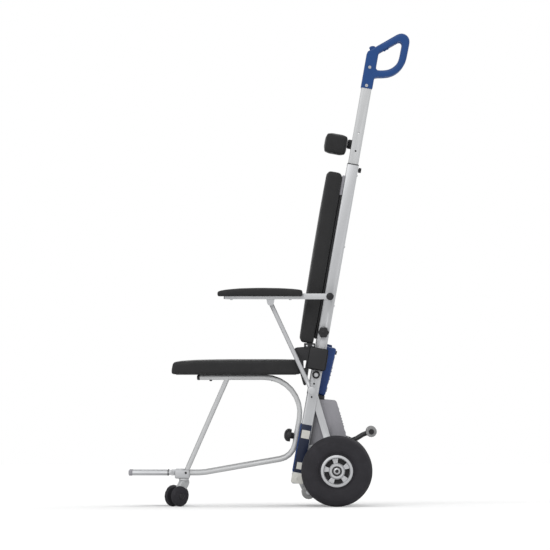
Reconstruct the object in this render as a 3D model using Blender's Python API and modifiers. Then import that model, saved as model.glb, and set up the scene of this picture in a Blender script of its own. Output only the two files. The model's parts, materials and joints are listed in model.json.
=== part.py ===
"""Stair climbing wheelchair: a seat on a leaning double column with a powered crank drive.

Metres, +Z up.  The chair faces -X and its left side is at -Y.  Sizes in the side view are taken from
the main wheels' axle, and one empty, the datum, carries every piece to the middle of the footprint.
"""
import math

import bmesh
import bpy
from mathutils import Matrix, Vector

# Fits
GAP = 0.0003                    # clearance left between pieces that seat on each other
ARC_TOLERANCE = 0.0008          # how far a chord of a rounded outline may lie inside its arc
PIN_SIDES = 10
ROUND_SIDES = 16

# Datum and widths
AXLE_X = 0.2464                 # main axle behind the middle of the footprint
TRACK = 0.150                   # column and seat tube centre lines from the middle plane

# Columns, in their own leaning frame: forwards is -X, along the axis is +Z
COLUMN_TILT = math.radians(10)
COLUMN_FOOT_X = -0.1602         # where the columns' axis meets the floor
COLUMN_DEPTH = 0.042
COLUMN_WIDTH = 0.030
COLUMN_WALL = 0.0022
COLUMN_CORNER = 0.004
COLUMN_BOTTOM_Z = 0.500
COLUMN_TOP_Z = 1.247
TUBE_FIT = 0.0003               # slack of a tube inside the column, each side

# Telescopic handle tubes
HANDLE_TUBE_WALL = 0.002
HANDLE_TUBE_BOTTOM_Z = 1.040
HANDLE_TUBE_GRIP = 0.067        # height of the tube inside the handle
INDEX_HOLE_RADIUS = 0.0035
INDEX_HOLE_DROP = 0.1652        # top hole below the handle
INDEX_HOLE_PITCH = 0.0665
INDEX_HOLE_COUNT = 4

# D handles
HANDLE_WIDTH = 0.030
HANDLE_SLEEVE_DEPTH = 0.0422
HANDLE_SLEEVE_BOTTOM_Z = 1.529
HANDLE_EDGE = 0.006
HANDLE_FRONT_RISE = 0.1273      # sleeve's front corner above its foot
HANDLE_REACH = 0.1468           # corner of the grip's top and back lines, behind the front corner
HANDLE_PEAK_RISE = 0.0996       # and above it
HANDLE_HEEL_REACH = 0.1094
HANDLE_HEEL_RISE = 0.037        # heel of the grip above the sleeve's foot
HANDLE_NOSE_RADIUS = 0.030
HANDLE_HEEL_RADIUS = 0.085
HANDLE_FRONT_RADIUS = 0.012
HANDLE_JOIN_RADIUS = 0.007
OPENING_NOSE_RADIUS = 0.009
GRIP_THICKNESS = 0.026
GRIP_WEB_THICKNESS = 0.0258
FINGER_BUMPS = 4
FINGER_BUMP_DEPTH = 0.0016
FINGER_BUMP_RADIUS = 0.008
FINGER_BUMP_START = 0.050       # from the front of the finger opening
FINGER_BUMP_PITCH = 0.0125
TRIGGER_LENGTH = 0.022
TRIGGER_WIDTH = 0.011
TRIGGER_PROUD = 0.007
TRIGGER_DEPTH = 0.009
TRIGGER_TRAVEL = 0.004
TRIGGER_ALONG_GRIP = 0.030      # from the front of the finger opening
ROCKER_LENGTH = 0.022
ROCKER_WIDTH = 0.012
ROCKER_PROUD = 0.011
ROCKER_DEPTH = 0.008
ROCKER_ALONG_GRIP = 0.023       # from the front corner of the grip
BUTTON_SLOT_SLACK = 0.002

# Headrest
CROSSBAR_Z = 1.232
CROSSBAR_HEIGHT = 0.026
CROSSBAR_DEPTH = 0.024
POST_SIDE = 0.022
POST_SLEEVE_WALL = 0.006
POST_BOTTOM = 1.115
POST_TOP = 1.372
HEADREST_LOW = 1.294
HEADREST_HEIGHT = 0.073
HEADREST_DEPTH = 0.088
HEADREST_WIDTH = 0.250
HEADREST_EDGE = 0.022
HEADREST_CROWN = 0.008
HEADREST_DRAW = 0.002
HEADREST_FORWARD = 0.034        # back of the pad ahead of the column axis
HEAD_BLOCK_LOW = 1.322
HEAD_BLOCK_HEIGHT = 0.034
HEAD_BLOCK_WIDTH = 0.060

# Backrest
BACK_BOARD_THICKNESS = 0.009
BACK_BOARD_WIDTH = 0.326
BACK_BOARD_LOW = 0.617
BACK_BOARD_HIGH = 1.208
BACK_PAD_LOW = 0.595
BACK_PAD_HIGH = 1.230
BACK_PAD_WIDTH = 0.372
BACK_PAD_EDGE = 0.024
BACK_PAD_CROWN = 0.010
BACK_PAD_DRAW = 0.004
BACK_PAD_FRONT = 0.092          # front of the pad ahead of the column axis

# Armrests
ARM_PIVOT_Z = 0.7668
ARM_TUBE_RADIUS = 0.009
ARM_TUBE_BORE = 0.0065
ARM_CLEARANCE = 0.057           # armrest bar outside the seat cushion
ARM_WIDTH = 0.024
ARM_HEIGHT = 0.021
ARM_HUB_RADIUS = 0.0135
ARM_CAP_RADIUS = 0.0137
ARM_CAP_THICKNESS = 0.008
ARM_FRONT_X = -0.410
ARM_PAD_FRONT_X = -0.4366
ARM_PAD_REAR_X = -0.1241
ARM_PAD_TOP_Z = 0.7987
ARM_PAD_WIDTH = 0.060
ARM_PAD_EDGE = 0.012
ARM_PAD_CROWN = 0.0045
ARM_PAD_DRAW = 0.0015
ARM_PAD_LEVEL = 0.55            # share of the half length on which the top stays level
ARM_PAD_NOSE_DROP = 0.009
ARM_PAD_TAIL_DROP = 0.004
STRUT_TOP_X = -0.2419
STRUT_TOP_Z = 0.7441
STRUT_FOOT_X = -0.0926
STRUT_FOOT_Z = 0.4239
STRUT_RADIUS = 0.0082
STRUT_TOP_INSET = 0.0087        # strut inside the bar's middle
STRUT_COVER_GAP = 0.0016
STRUT_FOOT_THICKNESS = 0.0168
STRUT_FOOT_RADIUS = 0.014
STRUT_EYE_RADIUS = 0.0105
STRUT_PIN_RADIUS = 0.004
STRUT_BEND = 0.14               # share of the strut, from its foot, that stays beside the frame
STRUT_LUG_THICKNESS = 0.008
STUD_RADIUS = 0.007
STUD_HEAD_RADIUS = 0.0135
STUD_HEAD_THICKNESS = 0.003
STUD_EXIT_ANGLE = math.radians(-46)     # way in which the stud leaves the strut's open seat

# Knobs
COLUMN_KNOB_Z = 0.6354
COLUMN_KNOB_RADIUS = 0.0215
COLUMN_KNOB_LOBES = 6
COLUMN_KNOB_THICKNESS = 0.016
COLUMN_KNOB_NECK = 0.005
KNOB_SCALLOP = 0.005
KNOB_STEM_RADIUS = 0.004
FRAME_KNOB_Z = 0.249
FRAME_KNOB_RADIUS = 0.0225
FRAME_KNOB_NECK_RADIUS = 0.010
FRAME_KNOB_NECK = 0.010
FRAME_KNOB_HEAD = 0.020
FRAME_KNOB_BITE = 0.010         # depth of the stem in the leg

# Side frames
LEG_DEPTH = 0.040
LINK_STEPS = 6                   # chords in the round end of a link
LEG_FOOT_Z = 0.1215
SPIGOT_TOP_Z = 0.665
REAR_LEG_WIDTH = 0.025
REAR_LEG_THICKNESS = 0.022
REAR_LEG_TOP_Z = 0.410
HEAD_THICKNESS = 0.020
TIE_WIDTH = 0.024
TIE_THICKNESS = 0.018
TIE_Z = 0.205
SHAFT_BOSS_RADIUS = 0.022
SHAFT_BOSS_LENGTH = 0.028
FOOT_BLOCK_DEPTH = 0.043
FOOT_BLOCK_PROUD = 0.001
FOOT_BLOCK_BOTTOM_Z = 0.0835
EAR_THICKNESS = 0.008
EAR_RADIUS = 0.014
PIVOT_BOSS_Z = 0.4805
PIVOT_BOSS_RADIUS = 0.0115
PIVOT_BOSS_HEIGHT = 0.004
SADDLE_HEIGHT = 0.034

# Hinge covers on the outer side of the columns
COVER_PROUD = 0.001             # cover outside its wing
WING_THICKNESS = 0.0035
WING_CLEARANCE = 0.001          # wing outside the seat cushion
COVER_EDGE = 0.004
COVER_CORNER = 0.012
COVER_LOW_Z = 0.497
COVER_HEIGHT = 0.081
COVER_FRONT = 0.040             # cover's edges from the column axis
COVER_REAR = 0.031
COVER_TOP_DROP = 0.010
WING_TOP_Z = 0.578
WING_FRONT_X = -0.1596
WING_TIP_Z = 0.415
WING_TIP_FORWARD = 0.0285
WING_ROOT = 0.030               # wing's root inside the cover, ahead of the axis
WINDOW_LOW_Z = 0.495
WINDOW_HIGH_Z = 0.526
WINDOW_MARGIN = 0.003
WINDOW_WIDTH = 0.012

# Crank drive
CRANK_RADIUS = 0.100
CRANK_LEAN = math.radians(16.4)     # crank and rear leg lean back from the vertical
SHAFT_RADIUS = 0.008
ARM_PLATE_THICKNESS = 0.0175
ARM_PLATE_GAP = 0.005               # side frame to crank arm
CRANK_BOSS_RADIUS = 0.025
CRANK_END_RADIUS = 0.020
GEAR_MODULE = 0.00375
GEAR_TEETH = 32
PINION_TEETH = 8
GEAR_WIDTH = 0.020
PINION_WIDTH = 0.024
GEAR_BACKLASH = 0.20                # share of a tooth left free
GEAR_HOLES = 5
GEAR_HOLE_CIRCLE = 0.035
GEAR_HOLE_RADIUS = 0.009
MOTOR_RADIUS = 0.038
MOTOR_NOSE_Y = 0.022
MOTOR_SHAFT_RADIUS = 0.005
MOTOR_SHAFT_GRIP = 0.030

# Drive hood, battery and its cradle
HOOD_TOP_FRONT_Z = 0.3928
HOOD_TOP_REAR_X = -0.0011
HOOD_TOP_REAR_Z = 0.3858
HOOD_REAR_LEAN = math.radians(15.7)
HOOD_BOTTOM_Z = 0.150
HOOD_WALL = 0.0025
HOOD_CORNER = 0.010
BATTERY_REAR_X = -0.0436
BATTERY_BOTTOM_Z = 0.402
BATTERY_LEAN = math.radians(13.9)
BATTERY_DEPTH = 0.062
BATTERY_HEIGHT = 0.179
BATTERY_WIDTH = 0.240
BATTERY_EDGE = 0.007
BATTERY_GRIP_HEIGHT = 0.008
CRADLE_FLOOR = 0.005
CRADLE_WALL = 0.004
CRADLE_HEIGHT = 0.110
CRADLE_FRONT_X = -0.088
CRADLE_SEAT = 0.0005            # cradle foot above the hood

# Main wheels
TYRE_RADIUS = 0.130
TYRE_WIDTH = 0.080
WHEEL_STUD_GAP = 0.0018         # tyre outside the strut studs
RIM_FLANGE_RADIUS = 0.0585
RIM_BARREL_RADIUS = 0.0515
RIM_BARREL_WALL = 0.004
RIM_FLANGE_THICKNESS = 0.004
RIM_WIDTH = 0.066
WEB_THICKNESS = 0.009
WEB_INSET = 0.012               # web face behind the outer flange
HUB_RADIUS = 0.019
HUB_RING_RADIUS = 0.027
HUB_RING_PROUD = 0.005
SLOT_COUNT = 5
SLOT_INNER = 0.031
SLOT_OUTER = 0.0455
SLOT_SPAN = math.radians(44)
SLOT_STEPS = 2
WHEEL_STEPS = 24
TYRE_SECTION_HEIGHT = 0.072
TYRE_BEAD_ANGLE = math.radians(-50)
TYRE_SQUARENESS = 0.77
TYRE_STEPS = 4
AXLE_RADIUS = 0.008
AXLE_NUT_RADIUS = 0.0125
AXLE_NUT_THICKNESS = 0.006

# Support rollers at the foot of the frame, transport rollers behind it
SUPPORT_X = -0.1028
SUPPORT_Z = 0.0524
SUPPORT_RADIUS = 0.026
SUPPORT_WIDTH = 0.027
SUPPORT_AXLE_RADIUS = 0.006
ROLLER_HEAD_RADIUS = 0.010
ROLLER_HEAD_THICKNESS = 0.0035
TRANSPORT_X = 0.1266
TRANSPORT_Z = 0.2724
TRANSPORT_RADIUS = 0.020
TRANSPORT_WIDTH = 0.030
TRANSPORT_ARM_Y = 0.078
TRANSPORT_ARM_RADIUS = 0.008
TRANSPORT_EYE_RADIUS = 0.011
TRANSPORT_AXLE_RADIUS = 0.005
TRANSPORT_ROOT_Z = 0.238
TRANSPORT_FLANGE = 0.004
TRANSPORT_FLANGE_SIZE = 0.034
TRANSPORT_BENDS = ((0.066, 0.2425), (0.0966, 0.2615))
TRANSPORT_BEND_RADIUS = 0.040

# Seat and its tube frame
SEAT_TUBE_RADIUS = 0.0095
SEAT_RAIL_Z = 0.4707
SEAT_RAIL_FRONT_X = -0.507
UPRIGHT_FORWARD = 0.032         # upright ahead of the column axis
SEAT_BEND = 0.130
LOWER_CORNER_Z = 0.180
LOWER_BEND = 0.065
LOWER_SLOPE = math.atan(0.175)
FOOT_RAIL_Z = 0.1224
FOOT_BEND = 0.150
FOOT_RAIL_BITE = 0.008          # length of the lower rail inside the foot clamp
STAY_TOP_X = -0.3982
STAY_FOOT_BITE = 0.0146
STAY_RADIUS = 0.009
SEAT_FRONT_X = -0.6043
SEAT_REAR_X = -0.1303
SEAT_OVERHANG = 0.018           # cushion outside the columns, each side
SEAT_TOP_Z = 0.5423
SEAT_BOARD_THICKNESS = 0.008
SEAT_BOARD_INSET = 0.016
SEAT_EDGE = 0.028
SEAT_CROWN = 0.010
SEAT_DRAW = 0.004
SEAT_FRONT_ROLL = 0.020

# Foot clamps and footplate
CLAMP_LENGTH = 0.054
CLAMP_REAR_X = -0.537
CLAMP_BOTTOM_Z = 0.102
CLAMP_TOP_Z = 0.1345
CLAMP_WIDTH = 0.030
HINGE_AHEAD = 0.0105            # footplate hinge ahead of the clamp
HINGE_PIN_RADIUS = 0.0035
TONGUE_THICKNESS = 0.010
TONGUE_RADIUS = 0.009
FOOTPLATE_LENGTH = 0.1572       # from the hinge
FOOTPLATE_RAIL_RADIUS = 0.0095
FOOTPLATE_THICKNESS = 0.010
FOOTPLATE_TOP = 0.005           # plate top above the rails' centre line
FOOTPLATE_INSET = 0.011

# Casters
CASTER_AHEAD = 0.0215           # swivel axis ahead of the clamp's back
CASTER_TURN = math.radians(40)
CASTER_TRAIL = 0.0346
CASTER_RADIUS = 0.0375
CASTER_WHEEL_WIDTH = 0.019
FORK_WIDTH = 0.021
FORK_CROWN_RADIUS = 0.0165
FORK_CROWN_THICKNESS = 0.0065
FORK_CROWN_LIP = 0.001
FORK_HUB_RADIUS = 0.0125
FORK_STEM_RADIUS = 0.006
FORK_STEM_LENGTH = 0.0090
FORK_AXLE_RADIUS = 0.004
FORK_AXLE_HEAD_RADIUS = 0.0075
FORK_AXLE_HEAD = 0.0025

SIDES = {"L": -1, "R": 1}

# Places worked out from the sizes
LEAN = Matrix.Translation((COLUMN_FOOT_X, 0, 0)) @ Matrix.Rotation(COLUMN_TILT, 4, "Y")
COLUMN_INNER = TRACK - COLUMN_WIDTH / 2
COLUMN_OUTER = TRACK + COLUMN_WIDTH / 2
FRAME_SPAN = COLUMN_INNER - GAP             # half width of what fits between the side frames
HANDLE_TUBE_DEPTH = COLUMN_DEPTH - 2 * (COLUMN_WALL + TUBE_FIT)
HANDLE_TUBE_WIDTH = COLUMN_WIDTH - 2 * (COLUMN_WALL + TUBE_FIT)
CRANK_X = -CRANK_RADIUS * math.sin(CRANK_LEAN)
CRANK_Z = TYRE_RADIUS + CRANK_RADIUS * math.cos(CRANK_LEAN)
GEAR_DISTANCE = GEAR_MODULE * (GEAR_TEETH + PINION_TEETH) / 2
PINION_X = CRANK_X - GEAR_DISTANCE * math.sin(CRANK_LEAN)
PINION_Z = CRANK_Z + GEAR_DISTANCE * math.cos(CRANK_LEAN)
CRANK_ARM_INNER = COLUMN_OUTER + ARM_PLATE_GAP
CRANK_ARM_OUTER = CRANK_ARM_INNER + ARM_PLATE_THICKNESS
CLAMP_FRONT_X = CLAMP_REAR_X - CLAMP_LENGTH
FOOT_RAIL_FRONT_X = CLAMP_REAR_X - FOOT_RAIL_BITE
STAY_FOOT_X = CLAMP_REAR_X - STAY_FOOT_BITE
CASTER_X = CLAMP_REAR_X - CASTER_AHEAD
HINGE_X = CLAMP_FRONT_X - HINGE_AHEAD
FOOTPLATE_FRONT_X = HINGE_X - FOOTPLATE_LENGTH
SEAT_WIDTH = 2 * (COLUMN_OUTER + SEAT_OVERHANG)
BACK_BOARD_REAR = COLUMN_DEPTH / 2 + GAP    # board's back ahead of the column axis
SEAT_PAD_BOTTOM_Z = SEAT_RAIL_Z + SEAT_TUBE_RADIUS + 2 * GAP
COVER_HIGH_Z = COVER_LOW_Z + COVER_HEIGHT
WING_INNER = SEAT_WIDTH / 2 + WING_CLEARANCE
COVER_OUTER = WING_INNER + WING_THICKNESS + COVER_PROUD
STRUT_FOOT_Y = COVER_OUTER + STRUT_COVER_GAP + STRUT_FOOT_THICKNESS / 2
STUD_HEAD_INNER = STRUT_FOOT_Y + STRUT_FOOT_THICKNESS / 2 + GAP
WHEEL_Y = STUD_HEAD_INNER + STUD_HEAD_THICKNESS + WHEEL_STUD_GAP + TYRE_WIDTH / 2
ARM_Y = SEAT_WIDTH / 2 + ARM_CLEARANCE
STRUT_TOP_Y = ARM_Y - STRUT_TOP_INSET
HANDLE_TUBE_TOP_Z = HANDLE_SLEEVE_BOTTOM_Z + HANDLE_TUBE_GRIP
INDEX_HOLE_TOP_Z = HANDLE_SLEEVE_BOTTOM_Z - INDEX_HOLE_DROP
HANDLE_FRONT_Z = HANDLE_SLEEVE_BOTTOM_Z + HANDLE_FRONT_RISE


def on_column(z, forward=0.0):
    """Side-view place of a point of the columns' axis at a height, moved square to it."""
    x = COLUMN_FOOT_X + math.tan(COLUMN_TILT) * z
    return Vector((x - forward * math.cos(COLUMN_TILT), z + forward * math.sin(COLUMN_TILT)))


def along(z):
    """Distance along the columns' axis from the floor to a height."""
    return z / math.cos(COLUMN_TILT)


def fit(radius, sides=PIN_SIDES):
    """Radius of a faceted hole whose flats clear a pin by the gap."""
    return (radius + GAP) / math.cos(math.pi / sides)


ARM_PIVOT_X = on_column(ARM_PIVOT_Z).x
COLUMN_KNOB_X = on_column(COLUMN_KNOB_Z).x


# Collections, materials and finished pieces

def clear_scene():
    for obj in list(bpy.data.objects):
        bpy.data.objects.remove(obj, do_unlink=True)


def new_collection(name):
    collection = bpy.data.collections.new(name)
    bpy.context.scene.collection.children.link(collection)
    return collection


clear_scene()
CHAIR = new_collection("stair_climbing_wheelchair")
DATUM = bpy.data.objects.new("wheel_axle_datum", None)
CHAIR.objects.link(DATUM)
DATUM.location = (AXLE_X, 0, 0)


def finish(name, colour, roughness, metallic=0.0):
    """A Principled material from an sRGB colour written 0 to 255."""
    material = bpy.data.materials.new(name)
    material.use_nodes = True
    shader = material.node_tree.nodes["Principled BSDF"]
    linear = [(value / 255 / 12.92) if value < 11 else ((value / 255 + 0.055) / 1.055) ** 2.4
              for value in colour]
    shader.inputs["Base Color"].default_value = (*linear, 1)
    shader.inputs["Roughness"].default_value = roughness
    shader.inputs["Metallic"].default_value = metallic
    return material


ALUMINIUM = finish("satin_aluminium", (204, 205, 208), 0.38, 0.85)
TUBE_SILVER = finish("anodised_tube", (187, 188, 190), 0.35, 0.85)
STEEL = finish("bright_steel", (190, 191, 193), 0.28, 1.0)
BLUE = finish("blue_plastic", (49, 80, 137), 0.45)
BATTERY_BLUE = finish("battery_blue", (38, 66, 120), 0.45)
BLACK = finish("black_plastic", (42, 42, 44), 0.5)
UPHOLSTERY = finish("black_upholstery", (50, 50, 52), 0.7)
HOOD_GREY = finish("grey_housing", (133, 132, 138), 0.5)
RUBBER = finish("tyre_rubber", (51, 50, 54), 0.8)
ROLLER_GREY = finish("grey_roller", (133, 133, 133), 0.6)


def add_piece(obj, name, material, pivot=(0, 0, 0)):
    """Names a finished solid and hangs it on the datum with its origin on its pivot."""
    obj.name = name
    obj.data.name = name
    pivot = Vector(pivot)
    obj.data.transform(Matrix.Translation(-pivot))
    obj.location = pivot
    obj.parent = DATUM
    obj.data.materials.clear()
    obj.data.materials.append(material)
    obj.data.shade_smooth()
    obj.data.set_sharp_from_angle(angle=math.radians(35))
    bpy.context.scene.collection.objects.unlink(obj)
    CHAIR.objects.link(obj)
    return obj


# Shapes: each call gives one closed solid in the datum's frame

def shape_object(data, label="shape"):
    obj = bpy.data.objects.new(label, data)
    bpy.context.scene.collection.objects.link(obj)
    return obj


def baked(obj, matrix=None):
    """Replaces an object by a welded mesh of what its modifiers or its curve make."""
    bpy.context.view_layer.update()
    depsgraph = bpy.context.evaluated_depsgraph_get()
    mesh = bpy.data.meshes.new_from_object(obj.evaluated_get(depsgraph))
    bm = bmesh.new()
    bm.from_mesh(mesh)
    bmesh.ops.remove_doubles(bm, verts=bm.verts, dist=0.00001)
    bmesh.ops.recalc_face_normals(bm, faces=bm.faces)
    bm.to_mesh(mesh)
    bm.free()
    if matrix is not None:
        mesh.transform(matrix)
    bpy.data.objects.remove(obj, do_unlink=True)
    return shape_object(mesh)


def from_bmesh(bm, matrix=None):
    mesh = bpy.data.meshes.new("shape")
    bm.to_mesh(mesh)
    bm.free()
    if matrix is not None:
        mesh.transform(matrix)
    return shape_object(mesh)


def rounded_edges(obj, width, segments=1, angle=math.radians(40)):
    if width <= 0:
        return obj
    bevel = obj.modifiers.new("edges", "BEVEL")
    bevel.width = width
    bevel.segments = segments
    bevel.limit_method = "ANGLE"
    bevel.angle_limit = angle
    return baked(obj)


def boolean(obj, tools, operation):
    """Unites or cuts with the tools, which are used up."""
    for tool in tools:
        modifier = obj.modifiers.new(operation.lower(), "BOOLEAN")
        modifier.operation = operation
        modifier.solver = "EXACT"
        modifier.object = tool
    result = baked(obj)
    for tool in tools:
        bpy.data.objects.remove(tool, do_unlink=True)
    return result


def united(obj, *tools):
    return boolean(obj, tools, "UNION")


def cut(obj, *tools):
    return boolean(obj, tools, "DIFFERENCE")


def block(low, high, edge=0.0, matrix=None, segments=1):
    """A box between two corners, given in any order, with rounded edges."""
    bm = bmesh.new()
    bmesh.ops.create_cube(bm, size=1)
    size = [abs(b - a) for a, b in zip(low, high)]
    middle = [(a + b) / 2 for a, b in zip(low, high)]
    bmesh.ops.scale(bm, vec=size, verts=bm.verts)
    bmesh.ops.translate(bm, vec=middle, verts=bm.verts)
    obj = rounded_edges(from_bmesh(bm), edge, segments)
    if matrix is not None:
        obj.data.transform(matrix)
    return obj


def rod(start, end, radius, sides=PIN_SIDES, end_radius=None, matrix=None):
    """A cylinder, or a cone with an end radius of its own, between two points."""
    start, end = Vector(start), Vector(end)
    run = end - start
    turn = Vector((0, 0, 1)).rotation_difference(run).to_matrix().to_4x4()
    bm = bmesh.new()
    bmesh.ops.create_cone(bm, cap_ends=True, segments=sides, radius1=radius,
                          radius2=radius if end_radius is None else end_radius, depth=run.length,
                          matrix=Matrix.Translation((start + end) / 2) @ turn)
    return from_bmesh(bm, matrix)


def cross_rod(x, z, y0, y1, radius, sides=PIN_SIDES):
    return rod((x, y0, z), (x, y1, z), radius, sides)


def rounded(corners, closed=True):
    """Points of an outline whose corners, each x, z and radius, are turned as arcs."""
    points = []
    for index, (x, z, radius) in enumerate(corners):
        here = Vector((x, z))
        is_end = not closed and index in (0, len(corners) - 1)
        if is_end or radius == 0:
            points.append(here)
            continue
        into = (here - Vector(corners[index - 1][:2])).normalized()
        out = (Vector(corners[(index + 1) % len(corners)][:2]) - here).normalized()
        turn = math.atan2(into.cross(out), into.dot(out))
        start = here - into * radius * math.tan(abs(turn) / 2)
        centre = start + Vector((-into.y, into.x)) * math.copysign(radius, turn)
        steps = math.ceil(abs(turn) / (2 * math.acos(1 - min(ARC_TOLERANCE / radius, 1))))
        for step in range(steps + 1):
            points.append(centre + Matrix.Rotation(turn * step / steps, 2) @ (start - centre))
    return points


def circle(x, z, radius, sides=PIN_SIDES):
    return [Vector((x + radius * math.cos(math.tau * i / sides), z + radius * math.sin(math.tau * i / sides)))
            for i in range(sides)]


def plate(outline, y0, y1, holes=(), edge=0.0, matrix=None, segments=1):
    """A side-view outline with holes, filled and extruded from one y to another."""
    curve = bpy.data.curves.new("outline", "CURVE")
    curve.dimensions = "2D"
    curve.fill_mode = "BOTH"
    curve.extrude = abs(y1 - y0) / 2
    for loop in (outline, *holes):
        spline = curve.splines.new("POLY")
        spline.points.add(len(loop) - 1)
        for point, (x, z) in zip(spline.points, loop):
            point.co = (x, z, 0, 1)
        spline.use_cyclic_u = True
    stand = Matrix.Translation((0, (y0 + y1) / 2, 0)) @ Matrix.Rotation(math.pi / 2, 4, "X")
    obj = baked(shape_object(curve), stand)
    if edge > 0:
        bm = bmesh.new()
        bm.from_mesh(obj.data)
        bmesh.ops.dissolve_limit(bm, angle_limit=math.radians(0.5), verts=bm.verts, edges=bm.edges)
        bm.to_mesh(obj.data)
        bm.free()
    obj = rounded_edges(obj, edge, segments)
    if matrix is not None:
        obj.data.transform(matrix)
    return obj


def tube(points, radius, resolution=3):
    """A round tube along points."""
    curve = bpy.data.curves.new("path", "CURVE")
    curve.dimensions = "3D"
    curve.bevel_depth = radius
    curve.bevel_resolution = resolution
    curve.use_fill_caps = True
    spline = curve.splines.new("POLY")
    spline.points.add(len(points) - 1)
    for point, place in zip(spline.points, points):
        point.co = (*place, 1)
    return baked(shape_object(curve))


def turned(profile, matrix, steps=ROUND_SIDES, closed=False):
    """A profile of radius and height pairs, spun about its own Z axis."""
    bm = bmesh.new()
    verts = [bm.verts.new((radius, 0, height)) for radius, height in profile]
    for first, second in zip(verts, verts[1:]):
        bm.edges.new((first, second))
    if closed:
        bm.edges.new((verts[-1], verts[0]))
    obj = from_bmesh(bm)
    screw = obj.modifiers.new("turn", "SCREW")
    screw.steps = steps
    screw.render_steps = steps
    screw.use_merge_vertices = True
    screw.merge_threshold = 0.00001
    return baked(obj, matrix)


def sideways(x, z, y, side):
    """Frame of a part turned about a cross axis, with its height pointing out to one side."""
    return Matrix.Translation((x, y, z)) @ Matrix.Rotation(-side * math.pi / 2, 4, "X")


def cushion(low, high, edge, crown, crown_axis, crown_sign, draw, shape=None, panels=1, levels=1):
    """A stuffed pad: a box cage panelled along its edges, crowned one way and drawn in at its sides."""
    low, high = Vector(low), Vector(high)
    middle, half = (low + high) / 2, (high - low) / 2
    bm = bmesh.new()
    bmesh.ops.create_cube(bm, size=2)
    bmesh.ops.scale(bm, vec=half, verts=bm.verts)
    bmesh.ops.translate(bm, vec=middle, verts=bm.verts)
    for axis in range(3):
        normal = [0, 0, 0]
        normal[axis] = 1
        margin = min(edge, half[axis] * 0.6)
        stops = [low[axis] + margin, high[axis] - margin]
        inner = stops[1] - stops[0]
        stops += [stops[0] + inner * (i + 1) / (panels + 1) for i in range(panels)]
        for stop in stops if axis != crown_axis else stops[:2]:
            place = [0, 0, 0]
            place[axis] = stop
            bmesh.ops.bisect_plane(bm, geom=[*bm.verts, *bm.edges, *bm.faces], plane_co=place,
                                   plane_no=normal, dist=0.00001)
    flat = [axis for axis in range(3) if axis != crown_axis]
    for vert in bm.verts:
        share = [(vert.co[axis] - middle[axis]) / half[axis] for axis in range(3)]
        fade = [1 - share[axis] ** 2 for axis in flat]
        if share[crown_axis] * crown_sign > 0.999:
            vert.co[crown_axis] -= crown_sign * crown * (1 - fade[0] * fade[1])
        for axis, other in zip(flat, reversed(fade)):
            if abs(share[axis]) > 0.999:
                vert.co[axis] -= math.copysign(draw * other, share[axis])
        if shape:
            vert.co = shape(vert.co, share)
    obj = from_bmesh(bm)
    smooth = obj.modifiers.new("stuffing", "SUBSURF")
    smooth.levels = levels
    smooth.render_levels = levels
    return baked(obj)


def column_section(depth, width, wall, low, high, y):
    """A rounded rectangular tube, or a bar with no wall, along the columns' axis at one side."""
    loops = []
    for inset in (0, wall) if wall else (0,):
        x, across, corner = depth / 2 - inset, width / 2 - inset, max(COLUMN_CORNER - inset, 0.001)
        loops.append(rounded([(-x, -across, corner), (x, -across, corner), (x, across, corner),
                              (-x, across, corner)]))
    upright = Matrix.Rotation(-math.pi / 2, 4, "X")
    length = along(high) - along(low)
    section = plate(loops[0], -length / 2, length / 2, loops[1:], matrix=upright)
    section.data.transform(LEAN @ Matrix.Translation((0, y, (along(low) + along(high)) / 2)))
    return section


def leaning_block(forward, rear, y0, y1, low, high, edge=0.0):
    """A box in the columns' frame: from a place ahead of the axis to one behind it."""
    return block((-forward, y0, low), (rear, y1, high), edge, LEAN)


def build_column(tag, side):
    column = column_section(COLUMN_DEPTH, COLUMN_WIDTH, COLUMN_WALL, COLUMN_BOTTOM_Z, COLUMN_TOP_Z,
                            side * TRACK)
    column = cut(column,
                 cross_rod(ARM_PIVOT_X, ARM_PIVOT_Z, side * (COLUMN_INNER - COLUMN_WALL),
                           side * (COLUMN_OUTER + COLUMN_WALL), fit(ARM_TUBE_RADIUS, ROUND_SIDES),
                           ROUND_SIDES),
                 cross_rod(COLUMN_KNOB_X, COLUMN_KNOB_Z, side * TRACK, side * (COLUMN_OUTER + COLUMN_WALL),
                           fit(KNOB_STEM_RADIUS)))
    add_piece(column, f"column_{tag}", ALUMINIUM)


def build_handle_tube(tag, side):
    pipe = column_section(HANDLE_TUBE_DEPTH, HANDLE_TUBE_WIDTH, HANDLE_TUBE_WALL, HANDLE_TUBE_BOTTOM_Z,
                          HANDLE_TUBE_TOP_Z, side * TRACK)
    holes = []
    for index in range(INDEX_HOLE_COUNT):
        place = on_column(INDEX_HOLE_TOP_Z - INDEX_HOLE_PITCH * index)
        holes.append(cross_rod(place.x, place.y, side * (TRACK - COLUMN_WIDTH), side * (TRACK + COLUMN_WIDTH),
                               INDEX_HOLE_RADIUS, 8))
    return add_piece(cut(pipe, *holes), f"handle_tube_{tag}", TUBE_SILVER,
                     on_column_3d(HANDLE_TUBE_BOTTOM_Z, side))


def on_column_3d(z, side):
    place = on_column(z)
    return (place.x, side * TRACK, place.y)


# Handles: the grip's lines are laid out in the side view

def meet(point, way, other, other_way):
    """Place where two side-view lines cross."""
    reach = other_way.cross(other - point) / other_way.cross(way)
    return point + way * reach


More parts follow.
